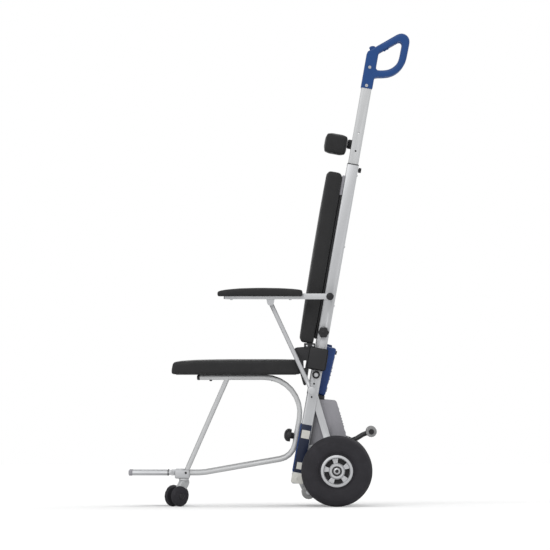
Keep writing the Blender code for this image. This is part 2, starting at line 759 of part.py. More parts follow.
SLEEVE_HALF = HANDLE_SLEEVE_DEPTH / 2
GRIP_FRONT = on_column(HANDLE_FRONT_Z, SLEEVE_HALF)
GRIP_PEAK = on_column(HANDLE_FRONT_Z) + Vector((HANDLE_REACH, HANDLE_PEAK_RISE))
GRIP_HEEL = Vector((on_column(HANDLE_FRONT_Z).x + HANDLE_HEEL_REACH,
                    HANDLE_SLEEVE_BOTTOM_Z + HANDLE_HEEL_RISE))
GRIP_WAY = (GRIP_PEAK - GRIP_FRONT).normalized()
GRIP_UP = Vector((-GRIP_WAY.y, GRIP_WAY.x))
BACK_WAY = (GRIP_HEEL - GRIP_PEAK).normalized()
BACK_IN = Vector((BACK_WAY.y, -BACK_WAY.x))
COLUMN_WAY = Vector((math.sin(COLUMN_TILT), math.cos(COLUMN_TILT)))
LEVEL = Vector((1, 0))
UNDER_GRIP = GRIP_FRONT - GRIP_UP * GRIP_THICKNESS
INSIDE_BACK = GRIP_PEAK + BACK_IN * GRIP_WEB_THICKNESS
ABOVE_HEEL = GRIP_HEEL + Vector((0, GRIP_WEB_THICKNESS))
SLEEVE_REAR = on_column(HANDLE_SLEEVE_BOTTOM_Z, -SLEEVE_HALF)
OPENING_FRONT = meet(UNDER_GRIP, GRIP_WAY, SLEEVE_REAR, COLUMN_WAY)


def grip_frame(origin, distance, side):
    """Frame on the grip's top or underside: X along the grip, Z square to it and upwards."""
    place = origin + GRIP_WAY * distance
    turn = Matrix.Rotation(-math.atan2(GRIP_WAY.y, GRIP_WAY.x), 4, "Y")
    return Matrix.Translation((place.x, side * TRACK, place.y)) @ turn


def build_handle(tag, side):
    opening = [meet(UNDER_GRIP, GRIP_WAY, INSIDE_BACK, BACK_WAY),
               meet(INSIDE_BACK, BACK_WAY, ABOVE_HEEL, LEVEL),
               meet(ABOVE_HEEL, LEVEL, SLEEVE_REAR, COLUMN_WAY), OPENING_FRONT]
    sleeve_join = meet(GRIP_HEEL, LEVEL, SLEEVE_REAR, COLUMN_WAY)
    outline = rounded([(*on_column(HANDLE_SLEEVE_BOTTOM_Z, SLEEVE_HALF), 0),
                       (*GRIP_FRONT, HANDLE_FRONT_RADIUS),
                       (*GRIP_PEAK, HANDLE_NOSE_RADIUS), (*GRIP_HEEL, HANDLE_HEEL_RADIUS),
                       (*sleeve_join, HANDLE_JOIN_RADIUS), (*SLEEVE_REAR, 0)])
    radii = (OPENING_NOSE_RADIUS, HANDLE_HEEL_RADIUS - GRIP_WEB_THICKNESS, HANDLE_JOIN_RADIUS,
             HANDLE_JOIN_RADIUS)
    hole = rounded([(*corner, radius) for corner, radius in zip(opening, radii)])
    y0, y1 = side * TRACK - HANDLE_WIDTH / 2, side * TRACK + HANDLE_WIDTH / 2
    handle = plate(outline, y0, y1, [hole], HANDLE_EDGE, segments=2)
    bumps = []
    for index in range(FINGER_BUMPS):
        frame = grip_frame(OPENING_FRONT, FINGER_BUMP_START + FINGER_BUMP_PITCH * index, side)
        half = HANDLE_WIDTH / 2 - HANDLE_EDGE
        rise = FINGER_BUMP_RADIUS - FINGER_BUMP_DEPTH
        bumps.append(rod((0, -half, rise), (0, half, rise), FINGER_BUMP_RADIUS, PIN_SIDES, matrix=frame))
    handle = united(handle, *bumps)
    cuts = [leaning_block(HANDLE_TUBE_DEPTH / 2 + GAP, HANDLE_TUBE_DEPTH / 2 + GAP,
                          side * TRACK - HANDLE_TUBE_WIDTH / 2 - GAP,
                          side * TRACK + HANDLE_TUBE_WIDTH / 2 + GAP,
                          along(HANDLE_SLEEVE_BOTTOM_Z) - HANDLE_SLEEVE_DEPTH,
                          along(HANDLE_TUBE_TOP_Z) + GAP)]
    if tag == "L":
        cuts.append(button_slot(TRIGGER_FRAME, TRIGGER_LENGTH, TRIGGER_WIDTH, -TRIGGER_PROUD,
                                TRIGGER_DEPTH + TRIGGER_TRAVEL + GAP))
        cuts.append(button_slot(ROCKER_FRAME, ROCKER_LENGTH, ROCKER_WIDTH, -ROCKER_DEPTH - BUTTON_SLOT_SLACK,
                                ROCKER_PROUD))
    add_piece(cut(handle, *cuts), f"handle_{tag}", BLUE, on_column_3d(HANDLE_SLEEVE_BOTTOM_Z, side))


def button_slot(frame, length, width, low, high):
    half_length, half_width = length / 2 + BUTTON_SLOT_SLACK, width / 2 + GAP
    return block((-half_length, -half_width, low), (half_length, half_width, high), matrix=frame)


TRIGGER_FRAME = grip_frame(OPENING_FRONT, TRIGGER_ALONG_GRIP, SIDES["L"])
ROCKER_FRAME = grip_frame(GRIP_FRONT, ROCKER_ALONG_GRIP, SIDES["L"])


def build_handle_buttons():
    half = TRIGGER_LENGTH / 2
    trigger = plate(rounded([(-half, TRIGGER_DEPTH, 0.001), (-half, -TRIGGER_PROUD, 0.004),
                             (0, -TRIGGER_PROUD * 0.5, 0.008), (half, -TRIGGER_PROUD, 0.004),
                             (half, TRIGGER_DEPTH, 0.001)]),
                    -TRIGGER_WIDTH / 2, TRIGGER_WIDTH / 2, matrix=TRIGGER_FRAME)
    add_piece(trigger, "drive_trigger", BLUE, TRIGGER_FRAME.translation)
    half = ROCKER_LENGTH / 2
    rocker = plate(rounded([(-half, -ROCKER_DEPTH, 0.001), (half, -ROCKER_DEPTH, 0.001),
                            (half, ROCKER_PROUD * 0.35, 0.004), (0, ROCKER_PROUD, 0.009),
                            (-half, ROCKER_PROUD * 0.9, 0.005)]),
                   -ROCKER_WIDTH / 2, ROCKER_WIDTH / 2, matrix=ROCKER_FRAME)
    add_piece(rocker, "mode_rocker", BLUE, ROCKER_FRAME.translation)


# Headrest, backrest and armrests

def build_headrest():
    middle = along(CROSSBAR_Z)
    low, high = middle - CROSSBAR_HEIGHT / 2, middle + CROSSBAR_HEIGHT / 2
    bar = leaning_block(CROSSBAR_DEPTH / 2, CROSSBAR_DEPTH / 2, -FRAME_SPAN, FRAME_SPAN, low, high, 0.002)
    sleeve = POST_SIDE / 2 + POST_SLEEVE_WALL
    reach = COLUMN_DEPTH / 2 - GAP
    collar = leaning_block(min(sleeve, reach), sleeve, -sleeve, sleeve, low - POST_SLEEVE_WALL,
                           high + POST_SLEEVE_WALL, 0.003)
    half = POST_SIDE / 2 + GAP
    bore = leaning_block(half, half, -half, half, low - POST_SIDE, high + POST_SIDE)
    add_piece(cut(united(bar, collar), bore), "head_crossbar", ALUMINIUM)

    half = POST_SIDE / 2
    post = leaning_block(half, half, -half, half, POST_BOTTOM, POST_TOP, 0.002)
    mount = leaning_block(HEADREST_FORWARD - GAP, half - 0.002, -HEAD_BLOCK_WIDTH / 2, HEAD_BLOCK_WIDTH / 2,
                          HEAD_BLOCK_LOW, HEAD_BLOCK_LOW + HEAD_BLOCK_HEIGHT, 0.003)
    seat = on_column_3d(CROSSBAR_Z, 0)
    add_piece(united(post, mount), "headrest_post", BLACK, seat)

    front = -HEADREST_FORWARD - HEADREST_DEPTH
    pad = cushion((front, -HEADREST_WIDTH / 2, HEADREST_LOW),
                  (-HEADREST_FORWARD, HEADREST_WIDTH / 2, HEADREST_LOW + HEADREST_HEIGHT),
                  HEADREST_EDGE, HEADREST_CROWN, 0, -1, HEADREST_DRAW, panels=0)
    pad.data.transform(LEAN)
    add_piece(pad, "headrest_pad", UPHOLSTERY, seat)


def build_backrest():
    rear, front = BACK_BOARD_REAR, BACK_BOARD_REAR + BACK_BOARD_THICKNESS
    half = BACK_BOARD_WIDTH / 2
    board = leaning_block(front, -rear, -half, half, BACK_BOARD_LOW, BACK_BOARD_HIGH, 0.002)
    add_piece(board, "backrest_board", BLACK)
    half = BACK_PAD_WIDTH / 2
    pad = cushion((-BACK_PAD_FRONT, -half, BACK_PAD_LOW), (-front - GAP, half, BACK_PAD_HIGH),
                  BACK_PAD_EDGE, BACK_PAD_CROWN, 0, -1, BACK_PAD_DRAW)
    pad.data.transform(LEAN)
    add_piece(pad, "backrest_pad", UPHOLSTERY)


ARM_INNER = ARM_Y - ARM_WIDTH / 2
ARM_OUTER = ARM_Y + ARM_WIDTH / 2


def build_armrest_tube():
    cap_in, cap_out = ARM_OUTER + GAP, ARM_OUTER + GAP + ARM_CAP_THICKNESS
    half = [(ARM_TUBE_BORE, cap_out), (ARM_CAP_RADIUS - 0.002, cap_out), (ARM_CAP_RADIUS, cap_out - 0.002),
            (ARM_CAP_RADIUS, cap_in), (ARM_TUBE_RADIUS, cap_in)]
    profile = half + [(radius, -height) for radius, height in reversed(half)]
    pipe = turned(profile, sideways(ARM_PIVOT_X, ARM_PIVOT_Z, 0, 1), closed=True)
    add_piece(pipe, "armrest_cross_tube", STEEL)


def arm_pad_fall(place, share):
    """Lets the top of an arm pad fall towards both of its ends."""
    if abs(share[0]) < 0.999:
        half = (ARM_PAD_REAR_X - ARM_PAD_FRONT_X) / 2
        place.x = ARM_PAD_FRONT_X + half + math.copysign(half * ARM_PAD_LEVEL, share[0])
    elif share[2] > 0:
        place.z -= ARM_PAD_NOSE_DROP if share[0] < 0 else ARM_PAD_TAIL_DROP
    return place


def build_armrest(tag, side):
    pivot = (ARM_PIVOT_X, side * ARM_Y, ARM_PIVOT_Z)
    half = ARM_HEIGHT / 2
    outline = rounded([(ARM_FRONT_X, ARM_PIVOT_Z - half, 0.004), (ARM_PIVOT_X, ARM_PIVOT_Z - half, 0),
                       (ARM_PIVOT_X, ARM_PIVOT_Z + half, 0), (ARM_FRONT_X, ARM_PIVOT_Z + half, 0.004)])
    bar = plate(outline, side * (ARM_INNER + 2 * GAP), side * (ARM_OUTER - 2 * GAP))
    hub = cross_rod(ARM_PIVOT_X, ARM_PIVOT_Z, side * ARM_INNER, side * ARM_OUTER, ARM_HUB_RADIUS, ROUND_SIDES)
    lug_in = STRUT_TOP_Y + STRUT_RADIUS + GAP
    lug_out = lug_in + STRUT_LUG_THICKNESS
    lug = plate(rounded([(STRUT_TOP_X - STRUT_EYE_RADIUS, STRUT_TOP_Z - STRUT_EYE_RADIUS,
                          STRUT_EYE_RADIUS * 0.9),
                         (STRUT_TOP_X + STRUT_EYE_RADIUS, STRUT_TOP_Z - STRUT_EYE_RADIUS,
                          STRUT_EYE_RADIUS * 0.9),
                         (STRUT_TOP_X + STRUT_EYE_RADIUS * 1.6, ARM_PIVOT_Z, 0),
                         (STRUT_TOP_X - STRUT_EYE_RADIUS * 1.6, ARM_PIVOT_Z, 0)]),
                side * lug_in, side * lug_out)
    pin = cross_rod(STRUT_TOP_X, STRUT_TOP_Z, side * (STRUT_TOP_Y - STRUT_RADIUS), side * lug_out,
                    STRUT_PIN_RADIUS)
    bore = cross_rod(ARM_PIVOT_X, ARM_PIVOT_Z, side * (ARM_INNER - half), side * (ARM_OUTER + half),
                     fit(ARM_TUBE_RADIUS, ROUND_SIDES), ROUND_SIDES)
    add_piece(cut(united(bar, hub, lug, pin), bore), f"armrest_bar_{tag}", ALUMINIUM, pivot)

    pad_half = ARM_PAD_WIDTH / 2
    pad = cushion((ARM_PAD_FRONT_X, side * ARM_Y - pad_half, ARM_PIVOT_Z),
                  (ARM_PAD_REAR_X, side * ARM_Y + pad_half, ARM_PAD_TOP_Z), ARM_PAD_EDGE, ARM_PAD_CROWN, 2, 1,
                  ARM_PAD_DRAW, shape=arm_pad_fall, panels=0)
    groove = block((ARM_FRONT_X - GAP, side * (ARM_INNER - GAP), ARM_PIVOT_Z - ARM_HEIGHT),
                   (ARM_PIVOT_X, side * (ARM_OUTER + GAP), ARM_PIVOT_Z + half + GAP))
    add_piece(cut(pad, groove), f"armrest_pad_{tag}", UPHOLSTERY, pivot)


def build_strut(tag, side):
    top = Vector((STRUT_TOP_X, side * STRUT_TOP_Y, STRUT_TOP_Z))
    foot = Vector((STRUT_FOOT_X, side * STRUT_FOOT_Y, STRUT_FOOT_Z))
    knee = foot.lerp(top, STRUT_BEND)
    knee.y = foot.y
    shoulder = top.lerp(foot, STRUT_BEND)
    shoulder.y = top.y
    strut = tube([foot, knee, shoulder, top], STRUT_RADIUS)
    eye = cross_rod(top.x, top.z, top.y - STRUT_RADIUS, top.y + STRUT_RADIUS, STRUT_EYE_RADIUS, ROUND_SIDES)
    half = STRUT_FOOT_THICKNESS / 2
    shoe = cross_rod(foot.x, foot.z, foot.y - half, foot.y + half, STRUT_FOOT_RADIUS, ROUND_SIDES)
    exit_way = Vector((math.cos(STUD_EXIT_ANGLE), math.sin(STUD_EXIT_ANGLE)))
    across = Vector((-exit_way.y, exit_way.x)) * fit(STUD_RADIUS, ROUND_SIDES)
    here = Vector((foot.x, foot.z))
    far = here + exit_way * STRUT_FOOT_RADIUS * 2
    mouth = plate([here - across, far - across * 1.3, far + across * 1.3, here + across],
                  foot.y - 2 * half, foot.y + 2 * half)
    seat = cross_rod(foot.x, foot.z, foot.y - 2 * half, foot.y + 2 * half, fit(STUD_RADIUS, ROUND_SIDES),
                     ROUND_SIDES)
    pin_bore = cross_rod(top.x, top.z, top.y - 2 * STRUT_RADIUS, top.y + 2 * STRUT_RADIUS,
                         fit(STRUT_PIN_RADIUS))
    strut = cut(united(strut, eye, shoe), mouth, seat, pin_bore)
    add_piece(strut, f"armrest_strut_{tag}", ALUMINIUM, top)


# Knobs

def build_column_knob(tag, side):
    """Star knob that clamps the column on the side frame's spigot."""
    points = 4 * COLUMN_KNOB_LOBES
    outline = []
    for index in range(points):
        angle = math.tau * index / points
        radius = COLUMN_KNOB_RADIUS - KNOB_SCALLOP * (1 - math.cos(COLUMN_KNOB_LOBES * angle)) / 2
        outline.append(Vector((COLUMN_KNOB_X + radius * math.cos(angle),
                               COLUMN_KNOB_Z + radius * math.sin(angle))))
    neck_in = COLUMN_OUTER + GAP
    head_in = neck_in + COLUMN_KNOB_NECK
    knob = plate(outline, side * head_in, side * (head_in + COLUMN_KNOB_THICKNESS), edge=0.0025)
    neck = cross_rod(COLUMN_KNOB_X, COLUMN_KNOB_Z, side * neck_in, side * (head_in + COLUMN_KNOB_NECK),
                     COLUMN_KNOB_RADIUS / 2, ROUND_SIDES)
    stem = cross_rod(COLUMN_KNOB_X, COLUMN_KNOB_Z, side * (TRACK + HANDLE_TUBE_WIDTH / 2 + GAP),
                     side * (head_in + COLUMN_KNOB_NECK), KNOB_STEM_RADIUS)
    add_piece(united(knob, neck, stem), f"column_knob_{tag}", BLACK,
              (COLUMN_KNOB_X, side * TRACK, COLUMN_KNOB_Z))


UPRIGHT_FRONT = UPRIGHT_FORWARD + SEAT_TUBE_RADIUS
UPRIGHT_REAR = UPRIGHT_FORWARD - SEAT_TUBE_RADIUS


def knob_line(forward, side):
    """Place on a frame knob's axis, a distance ahead of the column axis."""
    place = on_column(FRAME_KNOB_Z, forward)
    return Vector((place.x, side * TRACK, place.y))


def build_frame_knob(tag, side):
    """Mushroom knob whose stem runs through the seat tube into the leg."""
    seat = UPRIGHT_FRONT + GAP
    shoulder = seat + FRAME_KNOB_NECK
    front = shoulder + FRAME_KNOB_HEAD
    tip = LEG_DEPTH / 2 - FRAME_KNOB_BITE
    profile = [(0, front), (FRAME_KNOB_RADIUS * 0.7, front),
               (FRAME_KNOB_RADIUS * 0.93, front - FRAME_KNOB_HEAD * 0.25),
               (FRAME_KNOB_RADIUS, front - FRAME_KNOB_HEAD * 0.6), (FRAME_KNOB_RADIUS * 0.95, shoulder),
               (FRAME_KNOB_NECK_RADIUS, shoulder), (FRAME_KNOB_NECK_RADIUS, seat), (KNOB_STEM_RADIUS, seat),
               (KNOB_STEM_RADIUS, tip), (0, tip)]
    away = Matrix.Translation(knob_line(0, side)) @ Matrix.Rotation(COLUMN_TILT - math.pi / 2, 4, "Y")
    add_piece(turned(profile, away), f"frame_knob_{tag}", BLACK, knob_line(seat, side))


# Side frames, covers and the seat's tube frame

def bar_outline(start, end, width):
    """Corners of a flat bar between two side-view points."""
    way = (end - start).normalized()
    across = Vector((-way.y, way.x)) * width / 2
    return [start + across, start - across, end - across, end + across]


def link_outline(start, start_radius, end, end_radius):
    """Outline of a flat link with two round ends."""
    run = end - start
    lean = math.asin((start_radius - end_radius) / run.length)
    heading = math.atan2(run.y, run.x)
    outline = []
    for centre, radius, first, sweep in ((end, end_radius, lean - math.pi / 2, math.pi - 2 * lean),
                                         (start, start_radius, math.pi / 2 - lean, math.pi + 2 * lean)):
        for step in range(LINK_STEPS + 1):
            angle = heading + first + sweep * step / LINK_STEPS
            outline.append(centre + Vector((math.cos(angle), math.sin(angle))) * radius)
    return outline


def build_side_frame(tag, side):
    inner, outer = side * COLUMN_INNER, side * COLUMN_OUTER
    shaft = Vector((CRANK_X, CRANK_Z))
    leg = leaning_block(LEG_DEPTH / 2, LEG_DEPTH / 2, inner, outer,
                        along(FOOT_BLOCK_BOTTOM_Z) + LEG_DEPTH / 2,
                        along(COLUMN_BOTTOM_Z) - GAP, 0.003)
    spigot = column_section(HANDLE_TUBE_DEPTH, HANDLE_TUBE_WIDTH, 0, PIVOT_BOSS_Z, SPIGOT_TOP_Z, side * TRACK)
    crank_way = Vector((-math.sin(CRANK_LEAN), math.cos(CRANK_LEAN)))
    rear_top = shaft + crank_way * (REAR_LEG_TOP_Z - CRANK_Z) / crank_way.y

    def member(outline, thickness):
        return plate(outline, side * (TRACK - thickness / 2), side * (TRACK + thickness / 2))

    rear_leg = member(bar_outline(shaft, rear_top, REAR_LEG_WIDTH), REAR_LEG_THICKNESS)
    head = member(bar_outline(rear_top + crank_way * REAR_LEG_WIDTH * -0.5, on_column(REAR_LEG_TOP_Z),
                              REAR_LEG_WIDTH),
                  HEAD_THICKNESS)
    tie = member(bar_outline(shaft, on_column(TIE_Z), TIE_WIDTH), TIE_THICKNESS)
    boss = member(circle(CRANK_X, CRANK_Z, SHAFT_BOSS_RADIUS, ROUND_SIDES), SHAFT_BOSS_LENGTH)
    half = FOOT_BLOCK_DEPTH / 2
    foot_x = on_column((FOOT_BLOCK_BOTTOM_Z + LEG_FOOT_Z) / 2).x
    foot = block((foot_x - half, inner + side * GAP, FOOT_BLOCK_BOTTOM_Z),
                 (foot_x + half, outer + side * FOOT_BLOCK_PROUD, LEG_FOOT_Z), 0.003)
    ear = plate(rounded([(foot_x - half * 0.6, LEG_FOOT_Z - 0.002, 0),
                         (foot_x + half * 0.9, LEG_FOOT_Z - 0.002, 0),
                         (SUPPORT_X + EAR_RADIUS, SUPPORT_Z + EAR_RADIUS * 0.6, EAR_RADIUS * 0.8),
                         (SUPPORT_X + EAR_RADIUS * 0.5, SUPPORT_Z - EAR_RADIUS, EAR_RADIUS * 0.8),
                         (SUPPORT_X - EAR_RADIUS, SUPPORT_Z - EAR_RADIUS, EAR_RADIUS * 0.8)]),
                inner + 2 * side * GAP, side * (COLUMN_INNER + EAR_THICKNESS))
    pivot_x = on_column(PIVOT_BOSS_Z).x
    bolt = cross_rod(pivot_x, PIVOT_BOSS_Z, side * TRACK, side * (COLUMN_OUTER + PIVOT_BOSS_HEIGHT),
                     PIVOT_BOSS_RADIUS,
                     ROUND_SIDES)
    stud_in = STUD_HEAD_INNER
    stud = cross_rod(STRUT_FOOT_X, STRUT_FOOT_Z, side * TRACK, side * (stud_in + STUD_HEAD_THICKNESS / 2),
                     STUD_RADIUS)
    stud_head = cross_rod(STRUT_FOOT_X, STRUT_FOOT_Z, side * stud_in, side * (stud_in + STUD_HEAD_THICKNESS),
                          STUD_HEAD_RADIUS, ROUND_SIDES)
    saddle_mid = along(FRAME_KNOB_Z)
    saddle = leaning_block(UPRIGHT_REAR - GAP, 0, side * (TRACK - SEAT_TUBE_RADIUS),
                           side * (TRACK + SEAT_TUBE_RADIUS),
                           saddle_mid - SADDLE_HEIGHT / 2, saddle_mid + SADDLE_HEIGHT / 2)
    frame = united(leg, spigot, rear_leg, head, tie, boss, foot, ear, bolt, stud, stud_head, saddle)
    frame = cut(frame,
                cross_rod(CRANK_X, CRANK_Z, side * (COLUMN_INNER - EAR_THICKNESS),
                          side * (COLUMN_OUTER + EAR_THICKNESS),
                          fit(SHAFT_RADIUS, ROUND_SIDES), ROUND_SIDES),
                cross_rod(SUPPORT_X, SUPPORT_Z, side * (COLUMN_INNER - EAR_THICKNESS), outer,
                          fit(SUPPORT_AXLE_RADIUS)),
                rod(knob_line(LEG_DEPTH / 2 - FRAME_KNOB_BITE - GAP, side), knob_line(UPRIGHT_FRONT, side),
                    fit(KNOB_STEM_RADIUS)))
    add_piece(frame, f"side_frame_{tag}", ALUMINIUM)


def build_hinge_cover(tag, side):
    """Moulded cover over the column's foot, with a thin wing that guards the seat's rear corner."""
    rear, front = on_column(COVER_LOW_Z, -COVER_REAR), on_column(COVER_LOW_Z, COVER_FRONT)
    top_front = on_column(COVER_HIGH_Z, COVER_FRONT)
    top_rear = on_column(COVER_HIGH_Z - COVER_TOP_DROP, -COVER_REAR)
    cover = plate(rounded([(*front, COVER_CORNER), (*rear, COVER_CORNER), (*top_rear, COVER_CORNER),
                           (*top_front, COVER_CORNER)]),
                  side * (COLUMN_OUTER + GAP), side * COVER_OUTER, edge=COVER_EDGE)
    tip = on_column(WING_TIP_Z, WING_TIP_FORWARD)
    root = on_column(COVER_LOW_Z, WING_ROOT)
    wing = plate(rounded([(*on_column(WING_TOP_Z, WING_ROOT), 0), (WING_FRONT_X, WING_TOP_Z, 0.012),
                          (*tip, 0.006),
                          (*root, 0)]),
                 side * WING_INNER, side * (WING_INNER + WING_THICKNESS),
                 [rounded([(*place, 0.003) for place in wing_window()])])
    add_piece(united(cover, wing), f"hinge_cover_{tag}", BLACK)


def wing_window():
    """Corners of the see-through notch ahead of the cover."""
    low, high = on_column(WINDOW_LOW_Z, COVER_FRONT), on_column(WINDOW_HIGH_Z, COVER_FRONT)
    gap = Vector((-WINDOW_MARGIN, 0))
    width = Vector((-WINDOW_WIDTH, 0))
    return [low + gap, high + gap, high + gap + width, low + gap + width * 0.4]


def upright_at(z):
    """Side-view x of the seat tube's upright where its line passes a height."""
    return on_column(z).x - UPRIGHT_FORWARD / math.cos(COLUMN_TILT)


def seat_tube_path():
    """Side-view path of the bent seat tube, from the seat's front edge round to the foot clamp."""
    lower_x = upright_at(LOWER_CORNER_Z)
    level_x = lower_x - (LOWER_CORNER_Z - FOOT_RAIL_Z) / math.tan(LOWER_SLOPE)
    return rounded([(SEAT_RAIL_FRONT_X, SEAT_RAIL_Z, 0), (upright_at(SEAT_RAIL_Z), SEAT_RAIL_Z, SEAT_BEND),
                    (lower_x, LOWER_CORNER_Z, LOWER_BEND), (level_x, FOOT_RAIL_Z, FOOT_BEND),
                    (FOOT_RAIL_FRONT_X, FOOT_RAIL_Z, 0)], closed=False)


def seat_tubes(side, slack=0.0):
    """The bent tube and its front stay, as one solid, grown by a slack for what is cut to fit them."""
    y = side * TRACK
    main = tube([(place.x, y, place.y) for place in seat_tube_path()], SEAT_TUBE_RADIUS + slack)
    stay = rod((STAY_TOP_X, y, SEAT_RAIL_Z), (STAY_FOOT_X, y, FOOT_RAIL_Z), STAY_RADIUS + slack, 12)
    return united(main, stay)


def build_seat_frame(tag, side):
    frame = cut(seat_tubes(side), rod(knob_line(UPRIGHT_REAR - SEAT_TUBE_RADIUS, side),
                                      knob_line(UPRIGHT_FRONT + SEAT_TUBE_RADIUS, side),
                                      fit(KNOB_STEM_RADIUS)))
    add_piece(frame, f"seat_frame_{tag}", TUBE_SILVER)


def build_seat():
    half = SEAT_WIDTH / 2
    low = SEAT_RAIL_Z + SEAT_TUBE_RADIUS + GAP
    corner_low = (SEAT_FRONT_X + SEAT_BOARD_INSET, -half + SEAT_BOARD_INSET, low)
    corner_high = (SEAT_REAR_X - SEAT_BOARD_INSET, half - SEAT_BOARD_INSET, low + SEAT_BOARD_THICKNESS)
    add_piece(block(corner_low, corner_high, 0.002), "seat_board", BLACK)

    def rolled_front(place, share):
        """Lowers the front top edge, as the seat's waterfall edge does."""
        if share[2] > 0 and share[0] < -0.8:
            place.z -= SEAT_FRONT_ROLL * (-share[0] - 0.8) / 0.2
        return place

    pad = cushion((SEAT_FRONT_X, -half, SEAT_PAD_BOTTOM_Z), (SEAT_REAR_X, half, SEAT_TOP_Z), SEAT_EDGE,
                  SEAT_CROWN, 2, 1, SEAT_DRAW, rolled_front)
    recess = block([value - GAP for value in corner_low], [value + GAP for value in corner_high])
    add_piece(cut(pad, recess), "seat_pad", UPHOLSTERY)


# Feet: clamps, footplate and casters

def build_foot_clamp(tag, side):
    half = CLAMP_WIDTH / 2
    y = side * TRACK
    clamp = block((CLAMP_FRONT_X, y - half, CLAMP_BOTTOM_Z), (CLAMP_REAR_X, y + half, CLAMP_TOP_Z), 0.003)
    tongue = plate(rounded([(CLAMP_REAR_X - CLAMP_WIDTH, FOOT_RAIL_Z - TONGUE_RADIUS, 0),
                            (CLAMP_REAR_X - CLAMP_WIDTH, FOOT_RAIL_Z + TONGUE_RADIUS, 0),
                            (HINGE_X - TONGUE_RADIUS, FOOT_RAIL_Z + TONGUE_RADIUS, TONGUE_RADIUS * 0.95),
                            (HINGE_X - TONGUE_RADIUS, FOOT_RAIL_Z - TONGUE_RADIUS, TONGUE_RADIUS * 0.95)]),
                   y - TONGUE_THICKNESS / 2, y + TONGUE_THICKNESS / 2)
    pin_half = FOOTPLATE_RAIL_RADIUS + 2 * GAP
    pin = cross_rod(HINGE_X, FOOT_RAIL_Z, y - pin_half, y + pin_half, HINGE_PIN_RADIUS)
    stem_bore = rod((CASTER_X, y, CLAMP_BOTTOM_Z - FORK_STEM_LENGTH),
                    (CASTER_X, y, CLAMP_BOTTOM_Z + FORK_STEM_LENGTH),
                    fit(FORK_STEM_RADIUS))
    clamp = cut(united(clamp, tongue, pin), seat_tubes(side, GAP), stem_bore)
    add_piece(clamp, f"foot_clamp_{tag}", ALUMINIUM)


def build_footplate():
    plate_y = TRACK - FOOTPLATE_RAIL_RADIUS / 2
    top = FOOT_RAIL_Z + FOOTPLATE_TOP
    rear_x = HINGE_X - TONGUE_RADIUS - FOOTPLATE_INSET
    tread = block((FOOTPLATE_FRONT_X + FOOTPLATE_INSET, -plate_y, top - FOOTPLATE_THICKNESS),
                  (rear_x, plate_y, top))
    pieces = []
    cuts = []
    for side in SIDES.values():
        y = side * TRACK
        pieces.append(rod((FOOTPLATE_FRONT_X, y, FOOT_RAIL_Z), (HINGE_X, y, FOOT_RAIL_Z),
                          FOOTPLATE_RAIL_RADIUS))
        pieces.append(cross_rod(HINGE_X, FOOT_RAIL_Z, y - FOOTPLATE_RAIL_RADIUS, y + FOOTPLATE_RAIL_RADIUS,
                                FOOTPLATE_RAIL_RADIUS))
        half = TONGUE_THICKNESS / 2 + GAP
        cuts.append(block((HINGE_X - TONGUE_RADIUS - 3 * GAP, y - half, FOOT_RAIL_Z - 2 * TONGUE_RADIUS),
                          (CLAMP_FRONT_X, y + half, FOOT_RAIL_Z + 2 * TONGUE_RADIUS)))
        cuts.append(cross_rod(HINGE_X, FOOT_RAIL_Z, y - CLAMP_WIDTH, y + CLAMP_WIDTH, fit(HINGE_PIN_RADIUS)))
    add_piece(cut(united(tread, *pieces), *cuts), "footplate", ALUMINIUM, (HINGE_X, 0, FOOT_RAIL_Z))


FORK_TOP_Z = CLAMP_BOTTOM_Z - GAP
FORK_CROWN_Z = FORK_TOP_Z - FORK_CROWN_THICKNESS


def caster_frame(side):
    """Frame of a caster on its swivel axis, turned as it trails."""
    return Matrix.Translation((CASTER_X, side * TRACK, 0)) @ Matrix.Rotation(CASTER_TURN, 4, "Z")


def build_caster(tag, side):
    frame = caster_frame(side)
    half = FORK_WIDTH / 2
    wheel_out = half + GAP + CASTER_WHEEL_WIDTH
    crown = rod((0, 0, FORK_CROWN_Z), (0, 0, FORK_TOP_Z), FORK_CROWN_RADIUS + FORK_CROWN_LIP, ROUND_SIDES)
    body = plate(link_outline(Vector((-CASTER_TRAIL, CASTER_RADIUS)), FORK_HUB_RADIUS,
                              Vector((0, FORK_TOP_Z - FORK_CROWN_RADIUS - FORK_CROWN_LIP)),
                              FORK_CROWN_RADIUS), -half, half)
    stem = rod((0, 0, FORK_CROWN_Z), (0, 0, CLAMP_BOTTOM_Z + FORK_STEM_LENGTH - GAP), FORK_STEM_RADIUS)
    axle_end = wheel_out + GAP + FORK_AXLE_HEAD / 2
    axle = cross_rod(-CASTER_TRAIL, CASTER_RADIUS, -axle_end, axle_end, FORK_AXLE_RADIUS)
    heads = [cross_rod(-CASTER_TRAIL, CASTER_RADIUS, end * (wheel_out + GAP),
                       end * (wheel_out + GAP + FORK_AXLE_HEAD),
                       FORK_AXLE_HEAD_RADIUS) for end in SIDES.values()]
    fork = united(body, crown, stem, axle, *heads)
    fork.data.transform(frame)
    add_piece(fork, f"caster_fork_{tag}", TUBE_SILVER, frame.translation)
    inner = half + GAP
    edge = CASTER_WHEEL_WIDTH / 4
    bore = fit(FORK_AXLE_RADIUS, ROUND_SIDES)
    profile = [(bore, CASTER_WHEEL_WIDTH), (CASTER_RADIUS * 0.7, CASTER_WHEEL_WIDTH),
               (CASTER_RADIUS - edge, CASTER_WHEEL_WIDTH - edge * 0.3),
               (CASTER_RADIUS, CASTER_WHEEL_WIDTH - edge * 1.4),
               (CASTER_RADIUS, edge), (CASTER_RADIUS - edge * 0.6, 0), (bore, 0)]
    for place, end in (("near", -1), ("far", 1)):
        wheel = turned(profile, frame @ sideways(-CASTER_TRAIL, CASTER_RADIUS, end * inner, end), closed=True)
        hub = frame @ Vector((-CASTER_TRAIL, end * inner, CASTER_RADIUS))
        add_piece(wheel, f"caster_wheel_{tag}_{place}", RUBBER, hub)


